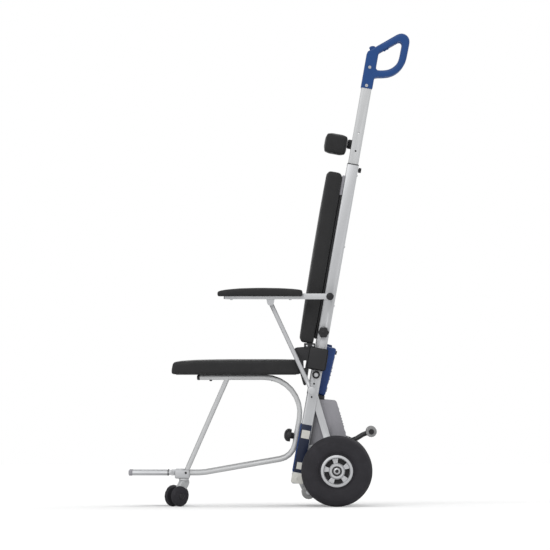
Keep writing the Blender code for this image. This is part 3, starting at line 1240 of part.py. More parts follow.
# Crank drive: motor, gears, shaft and arms

def gear_outline(teeth, x, z, first_tooth):
    """Straight-flanked teeth about a centre, with the first tooth at an angle."""
    pitch = math.tau / teeth
    tip = GEAR_MODULE * (teeth / 2 + 1)
    root = GEAR_MODULE * (teeth / 2 - 1.25)
    free = 1 - GEAR_BACKLASH
    outline = []
    for tooth in range(teeth):
        middle = first_tooth + pitch * tooth
        for radius, share in ((root, -0.36), (tip, -0.16), (tip, 0.16), (root, 0.36)):
            angle = middle + pitch * share * free
            outline.append(Vector((x + radius * math.cos(angle), z + radius * math.sin(angle))))
    return outline


MESH_ANGLE = math.pi / 2 + CRANK_LEAN       # way from the crank shaft to the pinion


def build_gears():
    pinion = plate(gear_outline(PINION_TEETH, PINION_X, PINION_Z,
                                MESH_ANGLE + math.pi + math.pi / PINION_TEETH),
                   -PINION_WIDTH / 2, PINION_WIDTH / 2)
    spindle = cross_rod(PINION_X, PINION_Z, 0, MOTOR_NOSE_Y + MOTOR_SHAFT_GRIP, MOTOR_SHAFT_RADIUS)
    add_piece(united(pinion, spindle), "motor_pinion", STEEL, (PINION_X, 0, PINION_Z))

    lightening = []
    for index in range(GEAR_HOLES):
        angle = math.tau * index / GEAR_HOLES
        lightening.append(circle(CRANK_X + GEAR_HOLE_CIRCLE * math.cos(angle),
                                 CRANK_Z + GEAR_HOLE_CIRCLE * math.sin(angle), GEAR_HOLE_RADIUS, 8))
    gear = plate(gear_outline(GEAR_TEETH, CRANK_X, CRANK_Z, MESH_ANGLE), -GEAR_WIDTH / 2, GEAR_WIDTH / 2,
                 [circle(CRANK_X, CRANK_Z, fit(SHAFT_RADIUS)), *lightening])
    add_piece(gear, "crank_gear", STEEL, (CRANK_X, 0, CRANK_Z))
    shaft = cross_rod(CRANK_X, CRANK_Z, -CRANK_ARM_OUTER, CRANK_ARM_OUTER, SHAFT_RADIUS)
    add_piece(shaft, "crank_shaft", STEEL, (CRANK_X, 0, CRANK_Z))


def build_motor():
    end = FRAME_SPAN - HOOD_WALL - GAP
    bore = fit(MOTOR_SHAFT_RADIUS, ROUND_SIDES)
    profile = [(0, end), (MOTOR_RADIUS - 0.003, end), (MOTOR_RADIUS, end - 0.003),
               (MOTOR_RADIUS, MOTOR_NOSE_Y + 0.018),
               (MOTOR_RADIUS * 0.75, MOTOR_NOSE_Y + 0.010), (MOTOR_RADIUS * 0.75, MOTOR_NOSE_Y),
               (bore, MOTOR_NOSE_Y), (bore, MOTOR_NOSE_Y + MOTOR_SHAFT_GRIP + GAP),
               (0, MOTOR_NOSE_Y + MOTOR_SHAFT_GRIP + GAP)]
    add_piece(turned(profile, sideways(PINION_X, PINION_Z, 0, 1)), "drive_motor", BLACK)


HUB_END = RIM_WIDTH / 2 - WEB_INSET + HUB_RING_PROUD     # hub's outer end from the wheel's middle


def build_crank_arm(tag, side):
    shaft, axle = Vector((CRANK_X, CRANK_Z)), Vector((0, TYRE_RADIUS))
    y0, y1 = side * CRANK_ARM_INNER, side * CRANK_ARM_OUTER
    arm = plate(link_outline(shaft, CRANK_BOSS_RADIUS, axle, CRANK_END_RADIUS), y0, y1)
    nut_in = WHEEL_Y + HUB_END + GAP
    arm = united(arm, cross_rod(*axle, (y0 + y1) / 2, side * (nut_in + AXLE_NUT_THICKNESS / 2), AXLE_RADIUS),
                 cross_rod(*axle, side * nut_in, side * (nut_in + AXLE_NUT_THICKNESS), AXLE_NUT_RADIUS, 6))
    bore = cross_rod(*shaft, side * COLUMN_OUTER, side * WHEEL_Y, fit(SHAFT_RADIUS))
    add_piece(cut(arm, bore), f"crank_arm_{tag}", STEEL, (CRANK_X, side * CRANK_ARM_INNER, CRANK_Z))


# Main wheels

def build_wheel(tag, side):
    frame = sideways(0, TYRE_RADIUS, side * WHEEL_Y, side)
    centre = (0, side * WHEEL_Y, TYRE_RADIUS)
    half = RIM_WIDTH / 2
    bead = half - RIM_FLANGE_THICKNESS
    barrel_in = RIM_BARREL_RADIUS - RIM_BARREL_WALL
    web = half - WEB_INSET
    hub_in = CRANK_ARM_OUTER + GAP - WHEEL_Y
    bore = fit(AXLE_RADIUS, WHEEL_STEPS)
    profile = [(bore, HUB_END), (HUB_RING_RADIUS - 0.002, HUB_END), (HUB_RING_RADIUS, web), (barrel_in, web),
               (barrel_in + 0.002, half), (RIM_FLANGE_RADIUS, half), (RIM_FLANGE_RADIUS, bead),
               (RIM_BARREL_RADIUS, bead), (RIM_BARREL_RADIUS, -bead), (RIM_FLANGE_RADIUS, -bead),
               (RIM_FLANGE_RADIUS, -half), (barrel_in, -half), (barrel_in, web - WEB_THICKNESS),
               (HUB_RADIUS, web - WEB_THICKNESS), (HUB_RADIUS, hub_in), (bore, hub_in)]
    rim = turned(profile, frame, WHEEL_STEPS, closed=True)
    slots = []
    for index in range(SLOT_COUNT):
        middle = math.pi / 2 + math.tau * index / SLOT_COUNT
        loop = []
        for radius, way in ((SLOT_INNER, 1), (SLOT_OUTER, -1)):
            for step in range(SLOT_STEPS + 1):
                angle = middle + way * SLOT_SPAN * (step / SLOT_STEPS - 0.5)
                loop.append(Vector((radius * math.cos(angle), TYRE_RADIUS + radius * math.sin(angle))))
        slots.append(plate(loop, side * WHEEL_Y, side * (WHEEL_Y + half)))
    add_piece(cut(rim, *slots), f"rim_{tag}", ALUMINIUM, centre)

    seat = RIM_BARREL_RADIUS + GAP
    side_half = bead - GAP
    middle = TYRE_RADIUS - TYRE_SECTION_HEIGHT / 2
    wall = [(seat, side_half), (RIM_FLANGE_RADIUS + GAP, side_half)]
    for step in range(TYRE_STEPS + 1):
        angle = TYRE_BEAD_ANGLE + (math.pi / 2 - TYRE_BEAD_ANGLE) * step / (TYRE_STEPS + 0.5)
        across = TYRE_WIDTH / 2 * math.cos(angle) ** TYRE_SQUARENESS
        rise = math.copysign(abs(math.sin(angle)) ** TYRE_SQUARENESS, angle)
        wall.append((middle + TYRE_SECTION_HEIGHT / 2 * rise, across))
    wall[-1] = (TYRE_RADIUS, wall[-1][1])
    profile = [(radius, -height) for radius, height in wall] + list(reversed(wall))
    add_piece(turned(profile, frame, WHEEL_STEPS, closed=True), f"tyre_{tag}", RUBBER, centre)


# Hood over the drive, battery and cradle

HOOD_FRONT = on_column(HOOD_TOP_FRONT_Z)
HOOD_REAR = Vector((HOOD_TOP_REAR_X, HOOD_TOP_REAR_Z))
HOOD_TOP_WAY = (HOOD_REAR - HOOD_FRONT).normalized()
HOOD_REAR_WAY = Vector((math.sin(HOOD_REAR_LEAN), -math.cos(HOOD_REAR_LEAN)))
HOOD_REAR_OUT = Vector((-HOOD_REAR_WAY.y, HOOD_REAR_WAY.x))


def hood_outline(inset, bottom):
    front = on_column(HOOD_TOP_FRONT_Z, -inset)
    top = HOOD_FRONT + Vector((HOOD_TOP_WAY.y, -HOOD_TOP_WAY.x)) * inset
    rear = HOOD_REAR - HOOD_REAR_OUT * inset
    base = Vector((0, bottom))
    corner = HOOD_CORNER - inset
    return rounded([(*meet(front, COLUMN_WAY, base, LEVEL), 0), (*meet(rear, HOOD_REAR_WAY, base, LEVEL), 0),
                    (*meet(rear, HOOD_REAR_WAY, top, HOOD_TOP_WAY), corner),
                    (*meet(front, COLUMN_WAY, top, HOOD_TOP_WAY), corner)])


def build_hood():
    hood = plate(hood_outline(0, HOOD_BOTTOM_Z), -FRAME_SPAN, FRAME_SPAN)
    room = FRAME_SPAN - HOOD_WALL
    inside = plate(hood_outline(HOOD_WALL, HOOD_BOTTOM_Z - HOOD_CORNER), -room, room)
    shaft_way = cross_rod(CRANK_X, CRANK_Z, -TRACK, TRACK, SHAFT_RADIUS + HOOD_WALL, ROUND_SIDES)
    add_piece(cut(hood, inside, shaft_way), "drive_hood", HOOD_GREY)


BATTERY_FRAME = (Matrix.Translation((BATTERY_REAR_X, 0, BATTERY_BOTTOM_Z))
                 @ Matrix.Rotation(BATTERY_LEAN, 4, "Y"))


def in_battery(forward, up):
    """Side-view place of a point given ahead of the battery's back and above its base."""
    place = BATTERY_FRAME @ Vector((-forward, 0, up))
    return Vector((place.x, place.z))


def on_hood(x):
    """Side-view place just above the hood's top."""
    return HOOD_FRONT + HOOD_TOP_WAY * (x - HOOD_FRONT.x) / HOOD_TOP_WAY.x + Vector((0, CRADLE_SEAT))


def build_battery():
    half = BATTERY_WIDTH / 2
    pack = block((-BATTERY_DEPTH, -half, 0), (0, half, BATTERY_HEIGHT), BATTERY_EDGE, segments=2)
    grip = block((-BATTERY_DEPTH * 0.72, -half * 0.4, BATTERY_HEIGHT - BATTERY_GRIP_HEIGHT),
                 (-BATTERY_DEPTH * 0.28, half * 0.4, BATTERY_HEIGHT + BATTERY_GRIP_HEIGHT),
                 BATTERY_GRIP_HEIGHT / 4)
    pack = united(pack, grip)
    pack.data.transform(BATTERY_FRAME)
    add_piece(pack, "battery_pack", BATTERY_BLUE, BATTERY_FRAME.translation)

    wall_in, wall_out = BATTERY_DEPTH + GAP, BATTERY_DEPTH + GAP + CRADLE_WALL
    floor = -GAP - CRADLE_FLOOR
    heel = in_battery(0, floor)
    sole = meet(heel, in_battery(1, floor) - heel, Vector((CRADLE_FRONT_X, 0)), Vector((0, 1)))
    outline = [in_battery(0, -GAP), in_battery(wall_in, -GAP), in_battery(wall_in, CRADLE_HEIGHT),
               in_battery(wall_out, CRADLE_HEIGHT), in_battery(wall_out, floor), sole,
               on_hood(CRADLE_FRONT_X),
               on_hood(heel.x), heel]
    add_piece(plate(outline, -FRAME_SPAN, FRAME_SPAN), "battery_cradle", BLACK)


# Rollers

def roller(x, z, y, side, radius, width, bore):
    edge = radius * 0.12
    hole = fit(bore, ROUND_SIDES)
    profile = [(hole, width), (radius - edge, width), (radius, width - edge), (radius, edge),
               (radius - edge, 0),
               (hole, 0)]
    return turned(profile, sideways(x, z, side * y, side), closed=True)


def roller_axle(x, z, end, radius):
    """A cross axle with a head beyond each roller."""
    reach = end + ROLLER_HEAD_THICKNESS / 2
    axle = cross_rod(x, z, -reach, reach, radius)
    return united(axle, *[cross_rod(x, z, side * end, side * (end + ROLLER_HEAD_THICKNESS),
                                    ROLLER_HEAD_RADIUS)
                          for side in SIDES.values()])


def build_support_rollers():
    inner = COLUMN_INNER + EAR_THICKNESS + GAP
    end = inner + SUPPORT_WIDTH + GAP
    add_piece(roller_axle(SUPPORT_X, SUPPORT_Z, end, SUPPORT_AXLE_RADIUS), "support_axle", STEEL)
    for tag, side in SIDES.items():
        wheel = roller(SUPPORT_X, SUPPORT_Z, inner, side, SUPPORT_RADIUS, SUPPORT_WIDTH, SUPPORT_AXLE_RADIUS)
        add_piece(wheel, f"support_roller_{tag}", ROLLER_GREY, (SUPPORT_X, side * inner, SUPPORT_Z))


def build_transport_rollers():
    inner = TRANSPORT_ARM_Y + TRANSPORT_ARM_RADIUS + GAP
    end = inner + TRANSPORT_WIDTH + GAP
    yoke = roller_axle(TRANSPORT_X, TRANSPORT_Z, end, TRANSPORT_AXLE_RADIUS)
    foot = meet(HOOD_REAR, HOOD_REAR_WAY, Vector((0, TRANSPORT_ROOT_Z)), LEVEL) + HOOD_REAR_OUT * GAP
    root = foot + HOOD_REAR_OUT * TRANSPORT_FLANGE / 2
    path = rounded([(*root, 0), *[(*bend, TRANSPORT_BEND_RADIUS) for bend in TRANSPORT_BENDS],
                    (TRANSPORT_X, TRANSPORT_Z, 0)], closed=False)
    flat = Matrix.Translation((foot.x, 0, foot.y)) @ Matrix.Rotation(-HOOD_REAR_LEAN, 4, "Y")
    half = TRANSPORT_FLANGE_SIZE / 2
    for tag, side in SIDES.items():
        y = side * TRANSPORT_ARM_Y
        arm = tube([(place.x, y, place.y) for place in path], TRANSPORT_ARM_RADIUS, resolution=2)
        eye = cross_rod(TRANSPORT_X, TRANSPORT_Z, y - TRANSPORT_ARM_RADIUS, y + TRANSPORT_ARM_RADIUS,
                        TRANSPORT_EYE_RADIUS, ROUND_SIDES)
        flange = block((0, y - half, -half), (TRANSPORT_FLANGE, y + half, half), 0.001, flat)
        yoke = united(yoke, arm, eye, flange)
        wheel = roller(TRANSPORT_X, TRANSPORT_Z, inner, side, TRANSPORT_RADIUS, TRANSPORT_WIDTH,
                       TRANSPORT_AXLE_RADIUS)
        add_piece(wheel, f"transport_roller_{tag}", ROLLER_GREY, (TRANSPORT_X, side * inner, TRANSPORT_Z))
    add_piece(yoke, "roller_yoke", BLACK)


def build_chair():
    for tag, side in SIDES.items():
        for build_side in (build_column, build_handle_tube, build_handle, build_armrest, build_strut,
                           build_column_knob, build_frame_knob, build_side_frame, build_hinge_cover,
                           build_seat_frame, build_foot_clamp,
                           build_caster, build_crank_arm, build_wheel):
            build_side(tag, side)
    for build_shared in (build_handle_buttons, build_headrest, build_backrest, build_armrest_tube, build_seat,
                         build_footplate, build_gears, build_motor, build_hood, build_battery,
                         build_support_rollers,
                         build_transport_rollers):
        build_shared()


build_chair()
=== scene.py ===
"""Looks of the stair climbing wheelchair: finishes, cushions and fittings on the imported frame.

Metres, +Z up.  The chair faces -X and its left side is at -Y.
"""
import json
import math

import bpy
from mathutils import Matrix, Vector


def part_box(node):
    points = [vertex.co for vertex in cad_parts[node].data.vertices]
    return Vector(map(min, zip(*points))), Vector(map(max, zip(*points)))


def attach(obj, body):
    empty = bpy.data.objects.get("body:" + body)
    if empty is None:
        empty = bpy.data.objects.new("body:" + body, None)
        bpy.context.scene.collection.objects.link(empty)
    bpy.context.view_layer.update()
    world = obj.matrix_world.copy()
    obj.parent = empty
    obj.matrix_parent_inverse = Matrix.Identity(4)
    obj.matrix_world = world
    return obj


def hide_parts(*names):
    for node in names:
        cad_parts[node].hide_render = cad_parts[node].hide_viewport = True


bl_info = {
    "name": "Stair climbing wheelchair",
    "version": (1, 0, 0),
    "blender": (4, 5, 0),
    "location": "3D View > Sidebar > Chair",
    "description": "Dresses the packed stair climbing wheelchair with its finishes, cushions and fittings",
    "category": "Object",
}

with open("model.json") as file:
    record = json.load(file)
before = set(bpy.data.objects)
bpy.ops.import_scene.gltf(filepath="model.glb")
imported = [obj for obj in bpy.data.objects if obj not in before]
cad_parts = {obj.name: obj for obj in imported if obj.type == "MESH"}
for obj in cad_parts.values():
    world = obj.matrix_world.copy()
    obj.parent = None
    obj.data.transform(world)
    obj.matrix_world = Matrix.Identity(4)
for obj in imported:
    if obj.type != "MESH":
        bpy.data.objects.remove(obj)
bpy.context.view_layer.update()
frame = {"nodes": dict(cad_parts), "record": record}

BODY_OF = {node: body for body, nodes in frame["record"]["behaviour"]["bodies"].items() for node in nodes}
SLOT_OF = {part["node"]: part["material_slot"] for part in frame["record"]["subparts"]}
SIDES = {"L": (-1, "left"), "R": (1, "right")}

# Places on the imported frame
TYRE_LOW, TYRE_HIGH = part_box("tyre_L")
AXLE = (TYRE_LOW + TYRE_HIGH) / 2
TRACK = 0.150                   # middle of a column, from the chair's middle
COLUMN_OUTER = 0.165            # outer face of a column and of the leg below it
SEAT_HALF = 0.1825              # half the width that the seat cushion keeps to
ARM_Y = 0.240                   # middle of an armrest bar
ARM_BAR_TOP = 0.7779
COLUMN_TILT = math.radians(10)
SLEEVE_REAR = 0.0211            # back of a handle's sleeve, behind the columns' axis
BACK_BOARD_FRONT = 0.0307       # ahead of that axis
HEAD_BRACKET_FRONT = 0.0342
BUTTONS = ("drive_trigger", "mode_rocker")
DOWN = (0, 0, -1)


def leaning(x, z, tilt):
    """Frame at a distance behind the main axle and a height, turned about the cross axis."""
    return Matrix.Translation((AXLE.x + x, 0, z)) @ Matrix.Rotation(tilt, 4, "Y")


# Frames of the columns' axis from the floor up, of the battery's rear face and of the hood's
LEAN = leaning(-0.1602, 0, COLUMN_TILT)
BATTERY = leaning(-0.0436, 0.402, math.radians(13.9))
HOOD_BACK = leaning(-0.0011, 0.3858, math.radians(-15.7))
FORWARD, REARWARD = (LEAN.to_3x3() @ Vector((way, 0, 0)) for way in (-1, 1))


def linear(code):
    """Linear RGBA of an sRGB hex value."""
    parts = [int(code[i:i + 2], 16) / 255 for i in (1, 3, 5)]
    return (*[p / 12.92 if p <= 0.04045 else ((p + 0.055) / 1.055) ** 2.4 for p in parts], 1.0)


def colour_setting(label, words, code):
    return bpy.props.FloatVectorProperty(name=label, description=words, default=linear(code), size=4,
                                         min=0, max=1, subtype="COLOR")


def length_setting(label, words, value):
    return bpy.props.FloatProperty(name=label, description=words, default=value, min=0, unit="LENGTH",
                                   precision=4)


class ChairColours(bpy.types.PropertyGroup):
    tube: colour_setting("Tubes", "Clear anodised seat and handle tubes", "#BABBBC")
    satin: colour_setting("Columns", "Satin aluminium columns, armrest bars and side plates", "#B6B7B9")
    steel: colour_setting("Steel", "Zinc plated shafts, screws and gear", "#B4B5B7")
    handle: colour_setting("Handles", "Blue handles", "#163F77")
    battery: colour_setting("Battery", "Blue battery case", "#1D3A70")
    black: colour_setting("Black mouldings", "Covers, knobs, caps and clamps", "#1E1E20")
    vinyl: colour_setting("Upholstery", "Black vinyl of the cushions", "#1F1F20")
    hood: colour_setting("Hood", "Grey drive hood", "#8C8B90")
    rubber: colour_setting("Tyres", "Black rubber", "#262529")
    roller: colour_setting("Rollers", "Grey rollers", "#888888")
    cream: colour_setting("Feet", "Pale shoes of the legs", "#C9C8C2")
    navy: colour_setting("Leg panels", "Dark blue panels on the legs", "#121C33")
    floor: colour_setting("Floor", "Pale studio floor", "#F3F3F3")


class ChairSizes(bpy.types.PropertyGroup):
    edge: length_setting("Edge", "Rounding of machined and moulded edges", 0.0007)
    voxel: length_setting("Cushion grid", "Grid on which the cushions are stuffed", 0.0060)
    swell: length_setting("Swell", "Most that a cushion's cover may rise as it is stuffed", 0.0050)
    screw: length_setting("Screw head", "Radius of the small screw heads", 0.0040)
    camera_distance: length_setting("Camera distance", "From the middle of the chair to the camera", 55.9)
    view_width: length_setting("View width", "Width of the photograph at the chair", 2.013)


# Modelling steps shared by the pieces

def begin():
    """Leaves edit mode and clears the selection, so an operator acts on the new piece alone."""
    if bpy.context.mode != "OBJECT":
        bpy.ops.object.mode_set(mode="OBJECT")
    bpy.ops.object.select_all(action="DESELECT")


def activate(obj):
    begin()
    obj.select_set(True)
    bpy.context.view_layer.objects.active = obj


def edit(obj):
    activate(obj)
    bpy.ops.object.mode_set(mode="EDIT")
    bpy.ops.mesh.select_all(action="SELECT")


def modify(obj, kind, **settings):
    """Adds a modifier with its settings and applies it."""
    activate(obj)
    bpy.ops.object.modifier_add(type=kind)
    modifier = obj.modifiers[-1]
    for name, value in settings.items():
        setattr(modifier, name, value)
    bpy.ops.object.modifier_apply(modifier=modifier.name)


def smooth(obj, angle=40):
    activate(obj)
    bpy.ops.object.shade_smooth_by_angle(angle=math.radians(angle))


def settle(obj, name, body, finish, *nodes):
    """Names a finished piece, gives it its finish and puts it on its body."""
    obj.name = name
    obj.data.name = name
    obj.data.materials.clear()
    obj.data.materials.append(FINISHES[finish][0])
    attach(obj, body)
    if nodes:
        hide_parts(*nodes)
    return obj


def block(low, high, matrix=None, edge=0.0008, segments=2):
    """A rounded box between two corners, in a frame of its own."""
    begin()
    low, high = Vector(low), Vector(high)
    bpy.ops.mesh.primitive_cube_add(size=1)
    obj = bpy.context.object
    edit(obj)
    bpy.ops.transform.resize(value=high - low)
    bpy.ops.transform.translate(value=(low + high) / 2)
    if edge:
        bpy.ops.mesh.bevel(offset=edge, segments=segments, affect="EDGES")
    bpy.ops.object.mode_set(mode="OBJECT")
    if matrix:
        obj.data.transform(matrix)
    smooth(obj)
    return obj


def span(sign, inner, outer):
    """Two distances from the chair's middle as y values of one side, the lower one first."""
    return sorted((sign * inner, sign * outer))


def corners(points):
    """Lowest and highest corner of some points."""
    return [Vector([pick(point[axis] for point in points) for axis in range(3)]) for pick in (min, max)]


def lathe(profile, matrix=None, steps=48, angle=math.tau):
    """Spins a profile of radius and height pairs about Z, then puts it in place."""
    begin()
    bpy.ops.mesh.primitive_plane_add(size=0.001)
    obj = bpy.context.object
    edit(obj)
    bpy.ops.mesh.merge(type="CENTER")
    bpy.ops.transform.translate(value=(profile[0][0], 0, profile[0][1]))
    for (radius, height), (next_radius, next_height) in zip(profile, profile[1:]):
        step = (next_radius - radius, 0, next_height - height)
        bpy.ops.mesh.extrude_region_move(TRANSFORM_OT_translate={"value": step})
    bpy.ops.mesh.select_all(action="SELECT")
    bpy.ops.mesh.spin(steps=steps, angle=angle, center=(0, 0, 0), axis=(0, 0, 1))
    bpy.ops.mesh.select_all(action="SELECT")
    bpy.ops.mesh.remove_doubles(threshold=0.000002)
    if angle < math.tau:
        bpy.ops.mesh.fill_holes(sides=0)
        bpy.ops.mesh.select_all(action="SELECT")
    bpy.ops.mesh.normals_make_consistent(inside=False)
    bpy.ops.object.mode_set(mode="OBJECT")
    if matrix:
        obj.data.transform(matrix)
    smooth(obj)
    return obj


def copied(obj, matrix):
    """A copy of a modelled piece with a mesh of its own, moved by a matrix."""
    twin = obj.copy()
    twin.data = obj.data.copy()
    twin.data.transform(matrix)
    bpy.context.scene.collection.objects.link(twin)
    return twin


def joined(pieces):
    begin()
    for piece in pieces:
        piece.select_set(True)
    bpy.context.view_layer.objects.active = pieces[0]
    if len(pieces) > 1:
        bpy.ops.object.join()
    return pieces[0]


def discard(*pieces):
    for piece in pieces:
        bpy.data.objects.remove(piece, do_unlink=True)


def facing(place, way):
    """Frame at a place with its Z along a way."""
    return Matrix.Translation(place) @ Vector(way).to_track_quat("Z", "Y").to_matrix().to_4x4()


def up_column(x, y, z):
    """Place behind the columns' axis, where the axis is at a height above the floor."""
    return LEAN @ Vector((x, y, z / math.cos(COLUMN_TILT)))


def stamped(pattern, place, way, radius, height):
    """A copy of a fastener made at unit size, set on a face."""
    return copied(pattern, facing(place, way) @ Matrix.Diagonal((radius, radius, height, 1)))


def socket_screw():
    """Round head with a rolled edge and a drilled socket, one unit in radius and height."""
    return lathe([(0, 0.35), (0.42, 0.35), (0.46, 0.92), (0.62, 1.0), (0.86, 0.94), (1.0, 0.7), (1.0, -0.25),
                  (0, -0.25)], steps=24)


def dome_head():
    """Rivet or plug head, one unit in radius and height."""
    return lathe([(0, 1.0), (0.35, 0.95), (0.68, 0.74), (0.9, 0.4), (1.0, 0.0), (1.0, -0.25), (0, -0.25)],
                 steps=24)


def cad_copy(node):
    """A merged copy of a node's mesh, as a new object."""
    mesh = frame["nodes"][node].data.copy()
    obj = bpy.data.objects.new(f"{node}_form", mesh)
    bpy.context.scene.collection.objects.link(obj)
    edit(obj)
    bpy.ops.mesh.remove_doubles(threshold=0.00001)
    bpy.ops.object.mode_set(mode="OBJECT")
    return obj


# Finishes

FINISHES = {}


def per_metre(millimetres):
    """Texture scale that gives a feature its real size on coordinates in metres."""
    return 1000 / millimetres


def add(tree, kind, links=None, **settings):
    """Adds a node, sets it up and links or fills its inputs."""
    node = tree.nodes.new(kind)
    for name, value in settings.items():
        setattr(node, name, value)
    for socket, value in (links or {}).items():
        if isinstance(value, bpy.types.NodeSocket):
            tree.links.new(value, node.inputs[socket])
        else:
            node.inputs[socket].default_value = value
    return node


def blank(name):
    """A new material, its tree and the coordinates on its piece, in metres."""
    material = bpy.data.materials.new(name)
    material.use_nodes = True
    tree = material.node_tree
    tree.nodes.clear()
    return material, tree, add(tree, "ShaderNodeTexCoord").outputs["Object"]


def noise(tree, place, millimetres, detail, roughness=0.5):
    """Cloudy noise with features of a real size."""
    return add(tree, "ShaderNodeTexNoise", {"Vector": place, "Scale": per_metre(millimetres),
                                            "Detail": detail, "Roughness": roughness}).outputs["Fac"]


def blend(tree, share, first, second):
    """Colour that runs from a first one to a second with a share."""
    return add(tree, "ShaderNodeMixRGB", {"Fac": share, "Color1": first, "Color2": second}).outputs["Color"]


def ramp(tree, value, start, end, low=0.3, high=0.7):
    """Runs from start to end while a value goes from low to high."""
    return add(tree, "ShaderNodeMapRange", {"Value": value, "From Min": low, "From Max": high,
                                            "To Min": start, "To Max": end}).outputs["Result"]


def relief(tree, strength, depth, height):
    bump = add(tree, "ShaderNodeBump", {"Strength": strength, "Distance": depth, "Height": height})
    return bump.outputs["Normal"]


def surface(tree, inputs):
    """Makes the shader that shows, from colour, roughness, relief and the rest."""
    shader = add(tree, "ShaderNodeBsdfPrincipled", inputs)
    add(tree, "ShaderNodeOutputMaterial", {"Surface": shader.outputs["BSDF"]})


def shade(colour, factor):
    return (*[min(part * factor, 1.0) for part in colour[:3]], 1.0)


def drawn_metal(name, colour, streak, roughness, metallic):
    """Extruded or turned metal: fine streaks along the way it was drawn, cloudy sheen from handling."""
    material, tree, place = blank(name)
    stretched = add(tree, "ShaderNodeMapping", {"Vector": place, "Scale": streak}).outputs["Vector"]
    # Streaks are under 0.2 mm wide in life and are drawn at 1.2 mm, so that they show in the render
    grain = noise(tree, stretched, 1.2, 5.0, 0.62)
    cloud = noise(tree, place, 70, 3.0)
    streaks = blend(tree, grain, shade(colour, 0.90), shade(colour, 1.08))
    surface(tree, {"Base Color": blend(tree, cloud, streaks, shade(colour, 0.97)),
                   "Roughness": ramp(tree, cloud, roughness - 0.06, roughness + 0.08),
                   "Normal": relief(tree, 0.12, 0.0002, grain), "Metallic": metallic})
    return material


def moulded_plastic(name, colour, roughness, grain=0.9):
    """Injection moulded plastic: spark-eroded grain, a soft sheen and slight shine where hands rub it."""
    material, tree, place = blank(name)
    pits = add(tree, "ShaderNodeTexVoronoi", {"Vector": place, "Scale": per_metre(grain)},
               feature="SMOOTH_F1").outputs["Distance"]
    fine = noise(tree, place, grain / 2, 4.0)
    cloud = noise(tree, place, 55, 4.0)
    height = add(tree, "ShaderNodeMath", {0: pits, 1: fine}, operation="ADD").outputs["Value"]
    surface(tree, {"Base Color": blend(tree, cloud, shade(colour, 0.93), shade(colour, 1.09)),
                   "Roughness": ramp(tree, cloud, roughness + 0.07, roughness - 0.07),
                   "Normal": relief(tree, 0.18, 0.00025, height), "Specular IOR Level": 0.30})
    return material


def coated_vinyl(name, colour):
    """Vinyl coated cloth: pressed leather grain with painted shade in its valleys, soft creases over the foam
    and a grey sheen at a glance.
    """
    material, tree, place = blank(name)
    # Pressed cells are about 1 mm across and are drawn at 2.2 mm, so that they show in the render
    cells = add(tree, "ShaderNodeTexVoronoi", {"Vector": place, "Scale": per_metre(2.2)},
                feature="DISTANCE_TO_EDGE").outputs["Distance"]
    valleys = ramp(tree, cells, 0.0, 1.0, 0.0, 0.16)
    crease = noise(tree, place, 28, 5.0, 0.55)
    cloud = noise(tree, place, 140, 3.0)
    soft = add(tree, "ShaderNodeMath", {0: crease, 1: 2.4}, operation="MULTIPLY").outputs["Value"]
    height = add(tree, "ShaderNodeMath", {0: valleys, 1: soft}, operation="ADD").outputs["Value"]
    worn = blend(tree, cloud, shade(colour, 0.88), shade(colour, 1.14))
    # The grain's valleys are darkened to 0.72 of the colour: painted shade in the recesses
    surface(tree, {"Base Color": blend(tree, valleys, shade(colour, 0.72), worn),
                   "Roughness": ramp(tree, crease, 0.50, 0.64), "Normal": relief(tree, 0.30, 0.0005, height),
                   "Specular IOR Level": 0.26, "Sheen Weight": 0.04, "Sheen Roughness": 0.45})
    return material


def pressed_rubber(name, colour, roughness):
    """Vulcanised rubber: fine mould texture, dull, with a trace of dust that greys it in patches."""
    material, tree, place = blank(name)
    fine = noise(tree, place, 1.4, 6.0, 0.65)
    dust = ramp(tree, noise(tree, place, 38, 5.0), 0.0, 1.0, 0.45, 0.8)
    surface(tree, {"Base Color": blend(tree, dust, shade(colour, 0.95), shade(colour, 1.30)),
                   "Roughness": ramp(tree, fine, roughness - 0.06, roughness + 0.06),
                   "Normal": relief(tree, 0.25, 0.0003, fine), "Specular IOR Level": 0.24})
    return material


def make_finishes(colours):
    """Fills the list of finishes: each has its material and the record's slot."""
    FINISHES.update({
        "tube": (drawn_metal("anodised_tube", colours.tube, (1, 1, 0.2), 0.52, 0.30), "anodised_tube"),
        "satin": (drawn_metal("satin_aluminium", colours.satin, (1, 1, 0.06), 0.44, 0.60), "satin_aluminium"),
        "steel": (drawn_metal("zinc_plated_steel", colours.steel, (1, 0.4, 1), 0.27, 1.0), "bright_steel"),
        "blue": (moulded_plastic("blue_abs", colours.handle, 0.42), "blue_plastic"),
        "battery": (moulded_plastic("battery_abs", colours.battery, 0.45), "battery_blue"),
        "black": (moulded_plastic("black_polyamide", colours.black, 0.46), "black_plastic"),
        "vinyl": (coated_vinyl("black_vinyl", colours.vinyl), "black_upholstery"),
        "hood": (moulded_plastic("grey_abs", colours.hood, 0.50, 1.2), "grey_housing"),
        "rubber": (pressed_rubber("tyre_rubber", colours.rubber, 0.74), "tyre_rubber"),
        "roller": (pressed_rubber("grey_polyurethane", colours.roller, 0.58), "grey_roller"),
        "cream": (moulded_plastic("cream_polyamide", colours.cream, 0.48), "grey_housing"),
        "navy": (moulded_plastic("navy_film", colours.navy, 0.38, 0.6), "blue_plastic"),
    })


FINISH_OF_SLOT = {"anodised_tube": "tube", "satin_aluminium": "satin", "bright_steel": "steel",
                  "blue_plastic": "blue", "battery_blue": "battery", "black_plastic": "black",
                  "black_upholstery": "vinyl", "grey_housing": "hood", "tyre_rubber": "rubber",
                  "grey_roller": "roller"}
REMADE = ("tyre_L", "tyre_R", "rim_L", "rim_R", "seat_pad", "backrest_pad", "headrest_pad", "armrest_pad_L",
          "armrest_pad_R")
ROUND_STOCK = ("seat_frame", "armrest_strut", "armrest_cross", "roller", "support", "transport", "crank_gear",
               "motor_pinion", "caster_wheel", "frame_knob", "crank_shaft")


# Operators: the stage, then each piece or group of like pieces

